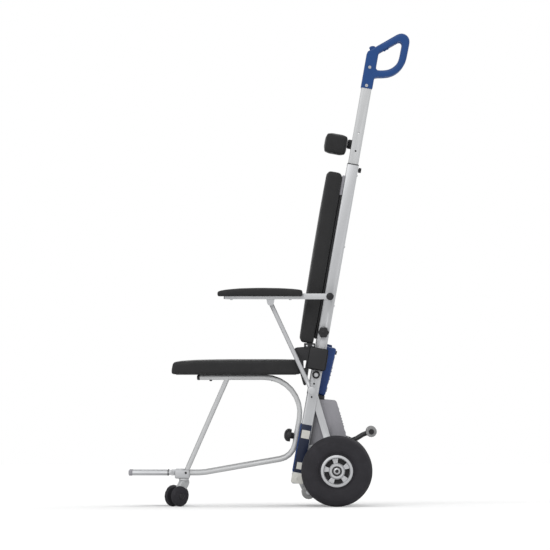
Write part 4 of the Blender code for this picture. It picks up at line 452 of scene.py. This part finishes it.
class CHAIR_OT_stage(bpy.types.Operator):
    """Camera square to the chair's left side, soft light and a pale floor"""
    bl_idname = "chair.stage"
    bl_label = "Stage"

    def execute(self, context):
        sizes, colours = context.scene.chair_sizes, context.scene.chair_colours
        middle = Vector((AXLE.x - 0.22546, 0, 0.8448))      # the picture's middle
        bpy.ops.object.camera_add(location=middle - Vector((0, sizes.camera_distance, 0)),
                                  rotation=(math.pi / 2, 0, 0))
        camera = context.object
        camera.data.lens = camera.data.sensor_width * sizes.camera_distance / sizes.view_width
        camera.data.clip_end = 500
        context.scene.camera = camera
        for place, strength, spread in (((-0.45, -1, 0.95), 1.25, 40), ((0.7, 0.9, 1.0), 0.8, 50)):
            bpy.ops.object.light_add(type="SUN", rotation=Vector(place).to_track_quat("Z", "Y").to_euler())
            context.object.data.energy = strength
            context.object.data.angle = math.radians(spread)
        begin()
        bpy.ops.mesh.primitive_plane_add(size=24)
        floor = context.object
        edit(floor)
        bpy.ops.mesh.subdivide(number_cuts=3)
        bpy.ops.object.mode_set(mode="OBJECT")
        floor.name = "studio_floor"
        material, tree, place = blank("matt_floor_paint")
        tint = blend(tree, noise(tree, place, 500, 3.0), colours.floor, shade(colours.floor, 1.03))
        surface(tree, {"Base Color": tint, "Roughness": 0.9})
        floor.data.materials.append(material)
        self.light_world(context.scene)
        context.scene.view_settings.view_transform = "Standard"
        return {"FINISHED"}

    def light_world(self, scene):
        """White to the camera, to gloss and through glass, and a plain level of light on the chair."""
        scene.world = scene.world or bpy.data.worlds.new("studio")
        scene.world.use_nodes = True
        tree = scene.world.node_tree
        tree.nodes.clear()
        path = add(tree, "ShaderNodeLightPath")
        seen = path.outputs["Is Camera Ray"]
        for other in ("Is Glossy Ray", "Is Transmission Ray"):
            either = add(tree, "ShaderNodeMath", {0: seen, 1: path.outputs[other]}, operation="MAXIMUM")
            seen = either.outputs["Value"]
        light = add(tree, "ShaderNodeBackground", {"Color": linear("#FFFFFF"), "Strength": 0.70})
        white = add(tree, "ShaderNodeBackground", {"Color": linear("#FFFFFF"), "Strength": 1.0})
        mixed = add(tree, "ShaderNodeMixShader", {0: seen, 1: light.outputs[0], 2: white.outputs[0]})
        add(tree, "ShaderNodeOutputWorld", {"Surface": mixed.outputs[0]})


class CHAIR_OT_rigid_parts(bpy.types.Operator):
    """Rounds the edges of the metal and moulded parts and gives them their finishes"""
    bl_idname = "chair.rigid_parts"
    bl_label = "Rigid parts"

    def execute(self, context):
        edge, sharp = context.scene.chair_sizes.edge, 42
        for node in sorted(frame["nodes"]):
            if node in REMADE:
                continue
            piece = cad_copy(node)
            edit(piece)
            bpy.ops.mesh.dissolve_limited(angle_limit=math.radians(0.4))
            bpy.ops.object.mode_set(mode="OBJECT")
            if node in ("handle_L", "handle_R"):
                self.round_moulding(piece)
                if node == "handle_L":
                    self.open_slots(piece)
            elif not any(name in node for name in ROUND_STOCK):
                modify(piece, "BEVEL", width=edge, segments=2, limit_method="ANGLE",
                       angle_limit=math.radians(sharp))
            smooth(piece, sharp)
            settle(piece, f"{node}_dressed", BODY_OF[node], FINISH_OF_SLOT[SLOT_OF[node]], node)
        return {"FINISHED"}

    def round_moulding(self, piece):
        """Melts the facets of a moulded handle, rounds its grip and draws its sleeve's foot down."""
        modify(piece, "REMESH", mode="VOXEL", voxel_size=0.0016, use_smooth_shade=True)
        lip, run_in, drop = 0.002, 0.012, 0.004
        upright = LEAN.inverted()
        slots = [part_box(button) for button in BUTTONS]
        foot = min((upright @ vert.co).z for vert in piece.data.vertices)
        above_foot = piece.vertex_groups.new(name="above_foot")
        grip = piece.vertex_groups.new(name="grip")
        for vert in piece.data.vertices:
            in_slot = any(all(low[axis] - lip < vert.co[axis] < high[axis] + lip for axis in range(3))
                          for low, high in slots)
            local = upright @ vert.co
            behind, rise = local.x - SLEEVE_REAR, min((local.z - foot) / run_in, 1)
            grip.add([vert.index], 0 if in_slot else max(0, min(behind / run_in, 1)), "REPLACE")
            above_foot.add([vert.index], rise, "REPLACE")
            vert.co = LEAN @ (local - Vector((0, 0, drop * (1 - rise))))
        modify(piece, "SMOOTH", factor=0.5, iterations=16, vertex_group="above_foot")
        modify(piece, "SMOOTH", factor=0.5, iterations=90, vertex_group="grip")
        piece.vertex_groups.clear()

    def open_slots(self, handle):
        """Cuts the slots of trigger and rocker clear of the smoothed grip, with room for their travel."""
        joints = {joint["name"]: joint for joint in frame["record"]["behaviour"]["joints"]}
        press = joints["trigger_press"]
        square = Vector(press["axis"])
        to_grip = Matrix((Vector((square.z, 0, -square.x)), Vector((0, 1, 0)), square)).to_4x4()
        # Room below and above each button: the trigger goes in by its travel, and the rocker tilts
        room = ((0.006, press["range_m"][1] + 0.0004), (0.0015, 0.006))
        ends, sides = 0.0015, 0.0005
        for button, (below, above) in zip(BUTTONS, room):
            low, high = corners([to_grip @ vert.co for vert in frame["nodes"][button].data.vertices])
            cutter = block(low - Vector((ends, sides, below)), high + Vector((ends, sides, above)),
                           to_grip.inverted(), edge=0)
            modify(handle, "BOOLEAN", operation="DIFFERENCE", solver="EXACT", object=cutter)
            discard(cutter)


class CHAIR_OT_cushions(bpy.types.Operator):
    """Stuffs the seat, back, head and arm cushions and covers them in vinyl"""
    bl_idname = "chair.cushions"
    bl_label = "Cushions"

    def execute(self, context):
        sizes = context.scene.chair_sizes
        level = Matrix()
        self.stuffed(context, "seat_pad", "seat_cushion", sizes.voxel, sizes.swell, fill=0.75,
                     stance=level, fullness=0.58, keep=self.on_seat_board())
        self.stuffed(context, "backrest_pad", "back_cushion", sizes.voxel, sizes.swell, fill=0.75,
                     stance=LEAN, fullness=0.80, keep=self.ahead_of(BACK_BOARD_FRONT))
        self.stuffed(context, "headrest_pad", "head_cushion", sizes.voxel * 0.8, sizes.swell, fill=0.8,
                     stance=LEAN, fullness=0.62, keep=self.ahead_of(HEAD_BRACKET_FRONT))
        for tag in SIDES:
            self.stuffed(context, f"armrest_pad_{tag}", f"arm_cushion_{tag}", sizes.voxel * 0.6,
                         sizes.swell * 0.4, fill=0.85, stance=level, fullness=0.9, keep=self.over_bar(tag))
        return {"FINISHED"}

    def on_seat_board(self):
        """Seats the seat cushion on its board and above the rails, within the seat's width."""
        low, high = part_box("seat_board")
        rail_top, slack, recess = low.z + 0.0012, 0.001, 0.010

        def keep(place):
            inside = low.x - slack < place.x < high.x + slack and abs(place.y) < high.y + slack
            if inside and place.z < high.z + recess:
                place.z = high.z + 0.0003
            place.z = max(place.z, rail_top)
            place.y = max(-SEAT_HALF, min(SEAT_HALF, place.y))
            return place
        return keep

    def ahead_of(self, depth):
        """Keeps a cushion ahead of what carries it, in the columns' leaning frame."""
        upright = LEAN.inverted()

        def keep(place):
            local = upright @ place
            local.x = min(local.x, -depth)
            return LEAN @ local
        return keep

    def over_bar(self, tag):
        """Seats an arm cushion astride its bar."""
        low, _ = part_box(f"armrest_pad_{tag}")
        middle, bar_half, settled = SIDES[tag][0] * ARM_Y, 0.0132, 0.0016

        def keep(place):
            if abs(place.y - middle) < bar_half and place.z < ARM_BAR_TOP + settled:
                place.z = ARM_BAR_TOP
            place.z = max(place.z, low.z)
            return place
        return keep

    def stuffed(self, context, node, name, voxel, swell, fill, stance, fullness, keep):
        """Inflates a copy of a cushion's form on a fine grid, within a set swell, and seats it."""
        pad = cad_copy(node)
        modify(pad, "REMESH", mode="VOXEL", voxel_size=voxel, use_smooth_shade=True)
        modify(pad, "SMOOTH", factor=0.5, iterations=2)
        form = [(vert.co.copy(), vert.normal.copy()) for vert in pad.data.vertices]
        self.inflate(context, pad)
        # The pads are firm foam: the cover only rises off it, and the corners stay where they were cut
        for vert, (start, outward) in zip(pad.data.vertices, form):
            vert.co = start + outward * max(0, min((vert.co - start).dot(outward), swell))
        modify(pad, "SMOOTH", factor=0.5, iterations=2)
        self.filled_out(pad, stance, fullness)
        self.drawn_to(pad, node)
        if "arm" in node:
            self.flat_foot(pad)
        for vert in pad.data.vertices:
            vert.co = keep(vert.co)
        modify(pad, "SUBSURF", levels=1, render_levels=1)
        activate(pad)
        bpy.ops.object.shade_smooth()
        settle(pad, name, BODY_OF[node], "vinyl", node)

    def inflate(self, context, pad):
        """Blows the cover up as cloth under pressure, without weight."""
        last_step = 20
        activate(pad)
        bpy.ops.object.modifier_add(type="CLOTH")
        cloth = pad.modifiers[-1]
        cloth.settings.use_pressure = True
        cloth.settings.uniform_pressure_force = 4.0
        cloth.settings.effector_weights.gravity = 0
        cloth.settings.mass = 0.3
        cloth.settings.tension_stiffness = 20
        cloth.settings.compression_stiffness = 20
        cloth.point_cache.frame_end = last_step
        for step in range(1, last_step + 1):
            context.scene.frame_set(step)
        bpy.ops.object.modifier_apply(modifier=cloth.name)
        context.scene.frame_set(1)

    def filled_out(self, pad, stance, fullness):
        """Fills a cushion out towards the corners of its box: 1 leaves it as it is, and less is squarer."""
        points = [stance.inverted() @ vert.co for vert in pad.data.vertices]
        low, high = corners(points)
        middle, half = (low + high) / 2, (high - low) / 2
        for vert, point in zip(pad.data.vertices, points):
            shares = [(point[axis] - middle[axis]) / half[axis] for axis in range(3)]
            fuller = [math.copysign(abs(share) ** fullness, share) for share in shares]
            vert.co = stance @ Vector([middle[axis] + half[axis] * fuller[axis] for axis in range(3)])

    def flat_foot(self, pad):
        """Lets the underside of an arm cushion run level out to its ends, and raises its crown."""
        row_length, crown = 0.004, 0.0035
        rows = {}
        for vert in pad.data.vertices:
            rows.setdefault(round(vert.co.x / row_length), []).append(vert)
        foot = min(vert.co.z for vert in pad.data.vertices)
        for row in rows.values():
            low, high = min(vert.co.z for vert in row), max(vert.co.z for vert in row)
            for vert in row:
                vert.co.z -= (low - foot) * (high - vert.co.z) / max(high - low, 0.0001)
        modify(pad, "SMOOTH", factor=0.4, iterations=2)
        low, high = corners([vert.co for vert in pad.data.vertices])
        for vert in pad.data.vertices:
            along = 2 * (vert.co.x - low.x) / (high.x - low.x) - 1
            vert.co.z += crown * (1 - along ** 2) * (vert.co.z - low.z) / (high.z - low.z)

    def drawn_to(self, pad, node):
        """Draws a stuffed cushion back to the box of its form, so that it bulges but doesn't grow."""
        want_low, want_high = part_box(node)
        points = [vert.co for vert in pad.data.vertices]
        low, high = corners(points)
        for point in points:
            for axis in range(3):
                share = (point[axis] - low[axis]) / (high[axis] - low[axis])
                point[axis] = want_low[axis] + share * (want_high[axis] - want_low[axis])


class CHAIR_OT_main_wheels(bpy.types.Operator):
    """Ribbed tyres on slotted alloy rims, with black discs behind the spokes as painted shade in the slots,
    and axle caps
    """
    bl_idname = "chair.main_wheels"
    bl_label = "Main wheels"

    def execute(self, context):
        tyre, rim, dark = lathe(self.tyre_section(), steps=96), self.rim(), self.dark_rings()
        dome = dome_head()
        for tag, (sign, side) in SIDES.items():
            outward, wheel = facing((AXLE.x, sign * -AXLE.y, AXLE.z), (0, sign, 0)), f"wheel_{side}"
            settle(copied(tyre, outward), f"ribbed_tyre_{tag}", wheel, "rubber", f"tyre_{tag}")
            settle(copied(rim, outward), f"slotted_rim_{tag}", wheel, "satin", f"rim_{tag}")
            # The black disc behind the spokes is painted shade in the rim's slots, joined with the hub's
            # bearing seal
            settle(copied(dark, outward), f"rim_shade_disc_and_seal_{tag}", wheel, "black")
            nut_low, nut_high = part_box(f"crank_arm_{tag}")
            nut = Vector((AXLE.x, nut_low.y if sign < 0 else nut_high.y, AXLE.z))
            settle(stamped(dome, nut, (0, sign, 0), 0.0066, 0.0012), f"axle_cap_{tag}", "crank", "black")
        discard(tyre, rim, dark, dome)
        return {"FINISHED"}

    def dark_rings(self):
        """Black disc behind the spokes, painted shade in the slots, and the hub's bearing seal."""
        rings = []
        # First the disc of painted shade behind the slots, then the hub's bearing seal
        for inner, outer, low, high in ((0.0193, 0.0464, 0.0044, 0.0064), (0.0128, 0.0178, 0.0240, 0.0254)):
            rings.append(lathe([(inner, high), (outer, high), (outer, low), (inner, low), (inner, high)]))
        return joined(rings)

    def tyre_section(self):
        """Section of the tyre: full side walls with two rings, and a crown with shallow grooves."""
        middle, half_width, half_height, fullness = 0.094, 0.0392, 0.036, 0.77
        # Grooves and rings, in degrees from the crown
        grooves, groove_half, groove_depth = (9, 25), 1.6, 0.0011
        rings, ring_half, ring_height = (72, 112), 1.8, 0.0006
        first_angle, sweep, steps = -50, 280, 150
        section = []
        for step in range(steps + 1):
            degrees = first_angle + sweep * step / steps
            angle = math.radians(degrees)
            across = math.copysign(abs(math.cos(angle)) ** fullness, math.cos(angle)) * half_width
            rise = math.copysign(abs(math.sin(angle)) ** fullness, math.sin(angle)) * half_height
            from_crown = abs(degrees - 90)
            proud = 0.0
            if any(abs(from_crown - groove) < groove_half for groove in grooves):
                proud = -groove_depth
            if any(abs(from_crown - ring) < ring_half for ring in rings):
                proud = ring_height
            section.append((middle + rise + proud * math.sin(angle), across + proud * math.cos(angle)))
        bead = [(0.0590, 0.0285), (0.0520, 0.0282), (0.0520, -0.0282), (0.0590, -0.0285)]
        return [*section, *reversed(bead), section[0]]

    def rim(self):
        """Barrel with rolled flanges, stepped hub and five spokes between kidney slots."""
        barrel = lathe([(0.0468, 0.0205), (0.0486, 0.0312), (0.0500, 0.0330), (0.0568, 0.0330),
                        (0.0585, 0.0318), (0.0585, 0.0298), (0.0574, 0.0290), (0.0515, 0.0288),
                        (0.0515, -0.0288), (0.0574, -0.0290), (0.0585, -0.0298), (0.0585, -0.0318),
                        (0.0568, -0.0330), (0.0480, -0.0330), (0.0468, -0.0310), (0.0468, 0.0205)], steps=72)
        hub = lathe([(0.0086, 0.0262), (0.0118, 0.0262), (0.0124, 0.0248), (0.0182, 0.0244),
                     (0.0190, 0.0258), (0.0252, 0.0262), (0.0268, 0.0250), (0.0300, 0.0212),
                     (0.0300, 0.0122), (0.0190, 0.0115), (0.0190, -0.0635), (0.0086, -0.0635),
                     (0.0086, 0.0262)], steps=64)
        spoke_count, spoke_degrees, first_spoke = 5, 28, 126
        spoke = lathe([(0.0290, 0.0208), (0.0476, 0.0208), (0.0476, 0.0124), (0.0290, 0.0124),
                       (0.0290, 0.0208)], Matrix.Rotation(math.radians(-spoke_degrees / 2), 4, "Z"), steps=8,
                      angle=math.radians(spoke_degrees))
        modify(spoke, "BEVEL", width=0.0014, segments=3, limit_method="ANGLE", angle_limit=math.radians(50))
        smooth(spoke)
        turns = [math.radians(first_spoke + 360 / spoke_count * index) for index in range(spoke_count)]
        spokes = [copied(spoke, Matrix.Rotation(turn, 4, "Z")) for turn in turns]
        discard(spoke)
        return joined([barrel, hub, *spokes])


class CHAIR_OT_column_fittings(bpy.types.Operator):
    """Collars, rivets, handle and headrest screws, and the back board's clips and screws"""
    bl_idname = "chair.column_fittings"
    bl_label = "Column fittings"

    def execute(self, context):
        screw, dome = socket_screw(), dome_head()
        small = context.scene.chair_sizes.screw
        for tag, (sign, side) in SIDES.items():
            settle(self.collar(sign), f"column_collar_{tag}", "frame", "black")
            rivets = [stamped(dome, up_column(0.0208, sign * TRACK, z), REARWARD, 0.0042, 0.003)
                      for z in (1.2108, 0.9509, 0.7360)]
            settle(joined(rivets), f"column_rivets_{tag}", "frame", "steel")
            inner, outer = span(sign, 0.1632, 0.1662)
            clip = block((-0.0306, inner, 1.150), (-0.0214, outer, 1.222), LEAN)
            settle(clip, f"board_clip_{tag}", "frame", "hood")
            handle = [stamped(screw, Vector((AXLE.x + x, sign * (TRACK + way * 0.0149), z)),
                              Vector((0, sign * way, 0)), 0.0060, 0.0022)
                      for x, z in ((0.1204, 1.6032), (0.1087, 1.5366)) for way in (1, -1)]
            settle(joined(handle), f"handle_screws_{tag}", f"handle_{side}", "steel")
        back = [stamped(screw, LEAN @ Vector((-0.0212, y, z)), REARWARD, small, 0.0022)
                for y in (-0.105, 0.105) for z in (0.66, 0.84, 1.02, 1.18)]
        settle(joined(back), "board_screws", "frame", "steel")
        settle(self.clamp_screw(), "headrest_clamp_screw", "frame", "black")
        discard(screw, dome)
        return {"FINISHED"}

    def collar(self, sign):
        """Dark wiper ring on the column's top, open for the handle tube."""
        half_depth, half_width, wall = 0.021, 0.015, 0.0022
        ring = block((-half_depth, sign * TRACK - half_width, 1.2664),
                     (half_depth, sign * TRACK + half_width, 1.2696), edge=0)
        edit(ring)
        bpy.ops.mesh.select_all(action="DESELECT")
        bpy.ops.object.mode_set(mode="OBJECT")
        for face in ring.data.polygons:
            face.select = abs(face.normal.z) > 0.9
        bpy.ops.object.mode_set(mode="EDIT")
        bpy.ops.mesh.inset(thickness=wall, depth=0, use_individual=True)
        bpy.ops.mesh.bridge_edge_loops()
        bpy.ops.object.mode_set(mode="OBJECT")
        modify(ring, "BEVEL", width=0.0005, segments=2, limit_method="ANGLE", angle_limit=math.radians(60))
        ring.data.transform(LEAN)
        smooth(ring)
        return ring

    def clamp_screw(self):
        """Round thumb screw behind the headrest's sleeve."""
        return lathe([(0, 0.016), (0.0075, 0.016), (0.009, 0.0145), (0.009, 0.007), (0.008, 0.0055),
                      (0.0045, 0.005), (0.0045, -0.001), (0, -0.001)],
                     facing(up_column(0.0172, 0, 1.232), REARWARD), steps=32)


class CHAIR_OT_leg_fittings(bpy.types.Operator):
    """Pivot rings, screws, panels and shoes of the side frames, and the hinge covers' faces and studs"""
    bl_idname = "chair.leg_fittings"
    bl_label = "Leg fittings"

    def execute(self, context):
        screw, dome = socket_screw(), dome_head()
        for tag, (sign, _) in SIDES.items():
            out = Vector((0, sign, 0))
            face = sign * COLUMN_OUTER
            pivot = Vector((AXLE.x - 0.0755, face, 0.4805))
            ring = lathe([(0.0082, 0.0042), (0.0086, 0.0056), (0.0130, 0.0056), (0.0142, 0.0046),
                          (0.0142, 0.0004), (0.0118, 0.0004), (0.0118, 0.0042), (0.0082, 0.0042)],
                         facing(pivot, out), steps=40)
            settle(ring, f"pivot_ring_{tag}", "frame", "black")
            head = stamped(screw, pivot + out * 0.0041, out, 0.0078, 0.0022)
            settle(head, f"pivot_screw_{tag}", "frame", "steel")
            small = [stamped(screw, Vector((AXLE.x + x, face, z)), out, 0.0034, 0.0014)
                     for x, z in ((-0.0827, 0.448), (-0.0915, 0.3994))]
            settle(joined(small), f"leg_screws_{tag}", "frame", "black")
            self.panel(tag, sign)
            inner, outer = span(sign, 0.1662, 0.1676)
            shoe = [block((-0.0222, inner, 0.0858), (0.0212, outer, 0.1226), LEAN, 0.0006),
                    stamped(dome, LEAN @ Vector((-0.004, sign * 0.1675, 0.104)), out, 0.0075, 0.0016)]
            settle(joined(shoe), f"leg_shoe_{tag}", "frame", "cream")
            bolt = stamped(screw, up_column(-0.0408, sign * TRACK, 0.3583392), FORWARD, 0.0055, 0.0040)
            settle(bolt, f"upright_bolt_{tag}", "frame", "steel")
            self.hinge_cover(tag, sign, dome)
        discard(screw, dome)
        return {"FINISHED"}

    def panel(self, tag, sign):
        """Plain dark blue panel on the leg, with a bright blue front edge and two pale squares."""
        foot, head = 0.1252, 0.3030
        inner, outer = span(sign, 0.1651, 0.1661)
        film = block((-0.0202, inner, foot), (0.0176, outer, head), LEAN, 0.0004)
        settle(film, f"leg_panel_{tag}", "frame", "navy")
        inner, outer = span(sign, 0.1598, 0.1663)
        edge = block((-0.0243, inner, foot), (-0.0203, outer, head), LEAN, 0.0010)
        settle(edge, f"leg_panel_edge_{tag}", "frame", "battery")
        inner, outer = span(sign, 0.1660, 0.1664)
        squares = [block((-half, inner, low), (half, outer, low + 2 * half), LEAN, 0.0002, 1)
                   for half, low in ((0.0125, 0.138), (0.0150, 0.252))]
        settle(joined(squares), f"leg_panel_squares_{tag}", "frame", "cream")

    def hinge_cover(self, tag, sign, dome):
        """Rounded outer face of a hinge cover, and the plate with two studs on its wing."""
        inner, outer = span(sign, 0.1872, 0.1925)
        face = block((-0.0395, inner, 0.5070), (0.0290, outer, 0.5860), LEAN, 0.0048, 4)
        settle(face, f"hinge_cover_face_{tag}", "frame", "black")
        plate_face = 0.1882
        inner, outer = span(sign, 0.1862, plate_face)
        plate = block((AXLE.x - 0.1190, inner, 0.5740), (AXLE.x - 0.0790, outer, 0.5945))
        settle(plate, f"stud_plate_{tag}", "frame", "black")
        studs = [stamped(dome, Vector((AXLE.x + x, sign * plate_face, 0.5868)), Vector((0, sign, 0)), 0.0042,
                         0.0020) for x in (-0.1092, -0.0864)]
        settle(joined(studs), f"wing_studs_{tag}", "frame", "steel")


class CHAIR_OT_seat_fittings(bpy.types.Operator):
    """Plugs, bolts, caps and knob faces of the seat frames, armrests and casters, and the footplate's trim"""
    bl_idname = "chair.seat_fittings"
    bl_label = "Seat fittings"

    def execute(self, context):
        screw, dome = socket_screw(), dome_head()
        for tag, (sign, side) in SIDES.items():
            y, out = sign * TRACK, Vector((0, sign, 0))
            plug = lathe([(0, 0.0036), (0.005, 0.0033), (0.0082, 0.0020), (0.0096, 0.0), (0.0098, -0.006),
                          (0.0094, -0.0066), (0.0060, -0.0066), (0, -0.0066)],
                         facing((AXLE.x - 0.507, y, 0.4707), (-1, 0, 0)), steps=32)
            settle(plug, f"rail_plug_{tag}", "frame", "black")
            bolts = [stamped(screw, (AXLE.x + x, y, 0.4616), DOWN, 0.0048, 0.0042)
                     for x in (-0.2353, -0.4600)]
            settle(joined(bolts), f"seat_bolts_{tag}", "frame", "black")
            clamp = stamped(screw, (AXLE.x - 0.551, sign * COLUMN_OUTER, 0.1227), out, 0.0042, 0.0016)
            settle(clamp, f"clamp_screw_{tag}", "frame", "black")
            self.armrest(tag, sign, side, screw, dome)
            near, far = [sum(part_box(f"caster_wheel_{tag}_{place}"), Vector()) / 2
                         for place in ("near", "far")]
            axle = (near - far).normalized()
            caps = [stamped(dome, hub + way * 0.0122, way, 0.0115, 0.0040)
                    for hub, way in ((near, axle), (far, -axle))]
            settle(joined(caps), f"caster_caps_{tag}", f"caster_{side}", "black")
            self.footplate_rail(tag, sign)
            self.knob_face(tag, sign, side)
            disc = stamped(dome, Vector((AXLE.x - 0.04816, sign * 0.1860, 0.6354)), out, 0.0062, 0.0016)
            settle(disc, f"column_knob_disc_{tag}", f"column_knob_{side}", "black")
        rib_count, rib_pitch, rib_width, half_length = 7, 0.016, 0.0045, 0.132
        rib_starts = [AXLE.x - 0.738 + rib_pitch * index for index in range(rib_count)]
        ribs = [block((x, -half_length, 0.1273), (x + rib_width, half_length, 0.1284), edge=0.0005)
                for x in rib_starts]
        settle(joined(ribs), "footplate_ribs", "footplate", "black")
        discard(screw, dome)
        return {"FINISHED"}

    def armrest(self, tag, sign, side, screw, dome):
        """Plug in the bar's front end, screws under the pad and the cap on the pivot."""
        y, plug_half = sign * ARM_Y, 0.0112
        settle(block((AXLE.x - 0.4122, y - plug_half, 0.7572), (AXLE.x - 0.4096, y + plug_half, 0.7664)),
               f"arm_plug_{tag}", f"armrest_{side}", "black")
        under = [stamped(screw, (AXLE.x + x, y, 0.7565), DOWN, 0.0046, 0.0030) for x in (-0.385, -0.170)]
        settle(joined(under), f"arm_screws_{tag}", f"armrest_{side}", "steel")
        cap = stamped(dome, (AXLE.x - 0.02499, sign * 0.2603, 0.7668), Vector((0, sign, 0)), 0.0138, 0.0030)
        settle(cap, f"arm_pivot_cap_{tag}", "frame", "black")

    def knob_face(self, tag, sign, side):
        """Round face of the mushroom knob that clamps the seat frame."""
        upright = LEAN.inverted()
        low, high = corners([upright @ vert.co for vert in frame["nodes"][f"frame_knob_{tag}"].data.vertices])
        front = LEAN @ Vector((low.x, sign * TRACK, (low.z + high.z) / 2))
        face = lathe([(0, 0.0050), (0.0055, 0.0046), (0.0105, 0.0033), (0.0142, 0.0013), (0.0157, -0.0001),
                      (0.0157, -0.0008), (0, -0.0008)], facing(front, FORWARD))
        settle(face, f"frame_knob_face_{tag}", f"frame_knob_{side}", "black")

    def footplate_rail(self, tag, sign):
        """Grey end cap and dark washer ring on a footplate rail."""
        forward = facing((AXLE.x - 0.7587, sign * TRACK, 0.1224), (-1, 0, 0))
        cap = lathe([(0, 0.0016), (0.0060, 0.0014), (0.0088, 0.0004), (0.0099, -0.0014), (0.0100, -0.0120),
                     (0.0096, -0.0126), (0.0070, -0.0126), (0, -0.0126)], forward, steps=32)
        settle(cap, f"footplate_cap_{tag}", "footplate", "hood")
        ring = lathe([(0.0093, -0.1448), (0.0101, -0.1448), (0.0104, -0.1440), (0.0104, -0.1420),
                      (0.0101, -0.1412), (0.0093, -0.1412), (0.0093, -0.1448)], forward, steps=32)
        settle(ring, f"footplate_ring_{tag}", "footplate", "black")


class CHAIR_OT_drive_fittings(bpy.types.Operator):
    """Battery panel, ribs, catch, socket and lamps, and the drive hood's louvres and screws"""
    bl_idname = "chair.drive_fittings"
    bl_label = "Drive fittings"

    def execute(self, context):
        screw, dome = socket_screw(), dome_head()
        self.battery(dome)
        out = HOOD_BACK.to_3x3() @ Vector((1, 0, 0))
        louvres = [block((-0.0004, -0.052, z), (0.0016, 0.052, z + 0.0042), HOOD_BACK, 0.0009)
                   for z in (-0.050, -0.060, -0.070, -0.080, -0.090, -0.100)]
        settle(joined(louvres), "hood_louvres", "frame", "black")
        fixings = [stamped(screw, HOOD_BACK @ Vector((0, y, z)), out, 0.0042, 0.0018)
                   for y in (-0.122, 0.122) for z in (-0.030, -0.120, -0.205)]
        flange = [stamped(screw, HOOD_BACK @ Vector((0.0043, y, z)), out, 0.0036, 0.0018)
                  for y in (-0.0895, -0.0665, 0.0665, 0.0895) for z in (-0.1425, -0.1645)]
        settle(joined([*fixings, *flange]), "hood_screws", "frame", "steel")
        discard(screw, dome)
        return {"FINISHED"}

    def battery(self, dome):
        """Fittings of the battery's rear face."""
        rear = BATTERY.to_3x3() @ Vector((1, 0, 0))
        socket_height = 0.024
        panel = block((-0.001, -0.088, 0.046), (0.0014, 0.088, 0.150), BATTERY, 0.0011)
        settle(panel, "battery_panel", "battery", "battery")
        ribs = [block((0.0010, -0.070, z), (0.0032, 0.070, z + 0.0045), BATTERY, 0.0012)
                for z in (0.062, 0.076, 0.090, 0.104)]
        settle(joined(ribs), "battery_ribs", "battery", "battery")
        catch = block((-0.001, -0.026, 0.156), (0.0050, 0.026, 0.170), BATTERY, 0.0016)
        settle(catch, "battery_catch", "battery", "black")
        socket = lathe([(0, 0.0006), (0.0048, 0.0006), (0.0052, 0.0026), (0.0078, 0.0030), (0.0088, 0.0018),
                        (0.0090, -0.001), (0, -0.001)],
                       facing(BATTERY @ Vector((0, 0.070, socket_height)), rear), steps=32)
        settle(socket, "charging_socket", "battery", "black")
        lamps = [stamped(dome, BATTERY @ Vector((0, y, socket_height)), rear, 0.0026, 0.0014)
                 for y in (-0.060, -0.050, -0.040)]
        settle(joined(lamps), "charge_lamps", "battery", "cream")


class CHAIR_PT_pieces(bpy.types.Panel):
    """Lists the chair's operators and settings"""
    bl_idname = "CHAIR_PT_pieces"
    bl_label = "Stair climbing wheelchair"
    bl_space_type = "VIEW_3D"
    bl_region_type = "UI"
    bl_category = "Chair"

    def draw(self, context):
        for operator in OPERATORS:
            self.layout.operator(operator.bl_idname)
        for settings in (context.scene.chair_sizes, context.scene.chair_colours):
            for name in settings.bl_rna.properties.keys():
                if name not in ("rna_type", "name"):
                    self.layout.prop(settings, name)


OPERATORS = (CHAIR_OT_stage, CHAIR_OT_rigid_parts, CHAIR_OT_cushions, CHAIR_OT_main_wheels,
             CHAIR_OT_column_fittings, CHAIR_OT_leg_fittings, CHAIR_OT_seat_fittings,
             CHAIR_OT_drive_fittings)
CLASSES = (ChairColours, ChairSizes, *OPERATORS, CHAIR_PT_pieces)


def register():
    for cls in CLASSES:
        bpy.utils.register_class(cls)
    bpy.types.Scene.chair_colours = bpy.props.PointerProperty(type=ChairColours)
    bpy.types.Scene.chair_sizes = bpy.props.PointerProperty(type=ChairSizes)


def unregister():
    del bpy.types.Scene.chair_sizes
    del bpy.types.Scene.chair_colours
    for cls in reversed(CLASSES):
        bpy.utils.unregister_class(cls)


def main():
    register()
    make_finishes(bpy.context.scene.chair_colours)
    bpy.ops.chair.stage()
    bpy.ops.chair.rigid_parts()
    bpy.ops.chair.cushions()
    bpy.ops.chair.main_wheels()
    bpy.ops.chair.column_fittings()
    bpy.ops.chair.leg_fittings()
    bpy.ops.chair.seat_fittings()
    bpy.ops.chair.drive_fittings()
    begin()


if __name__ == "__main__":
    main()
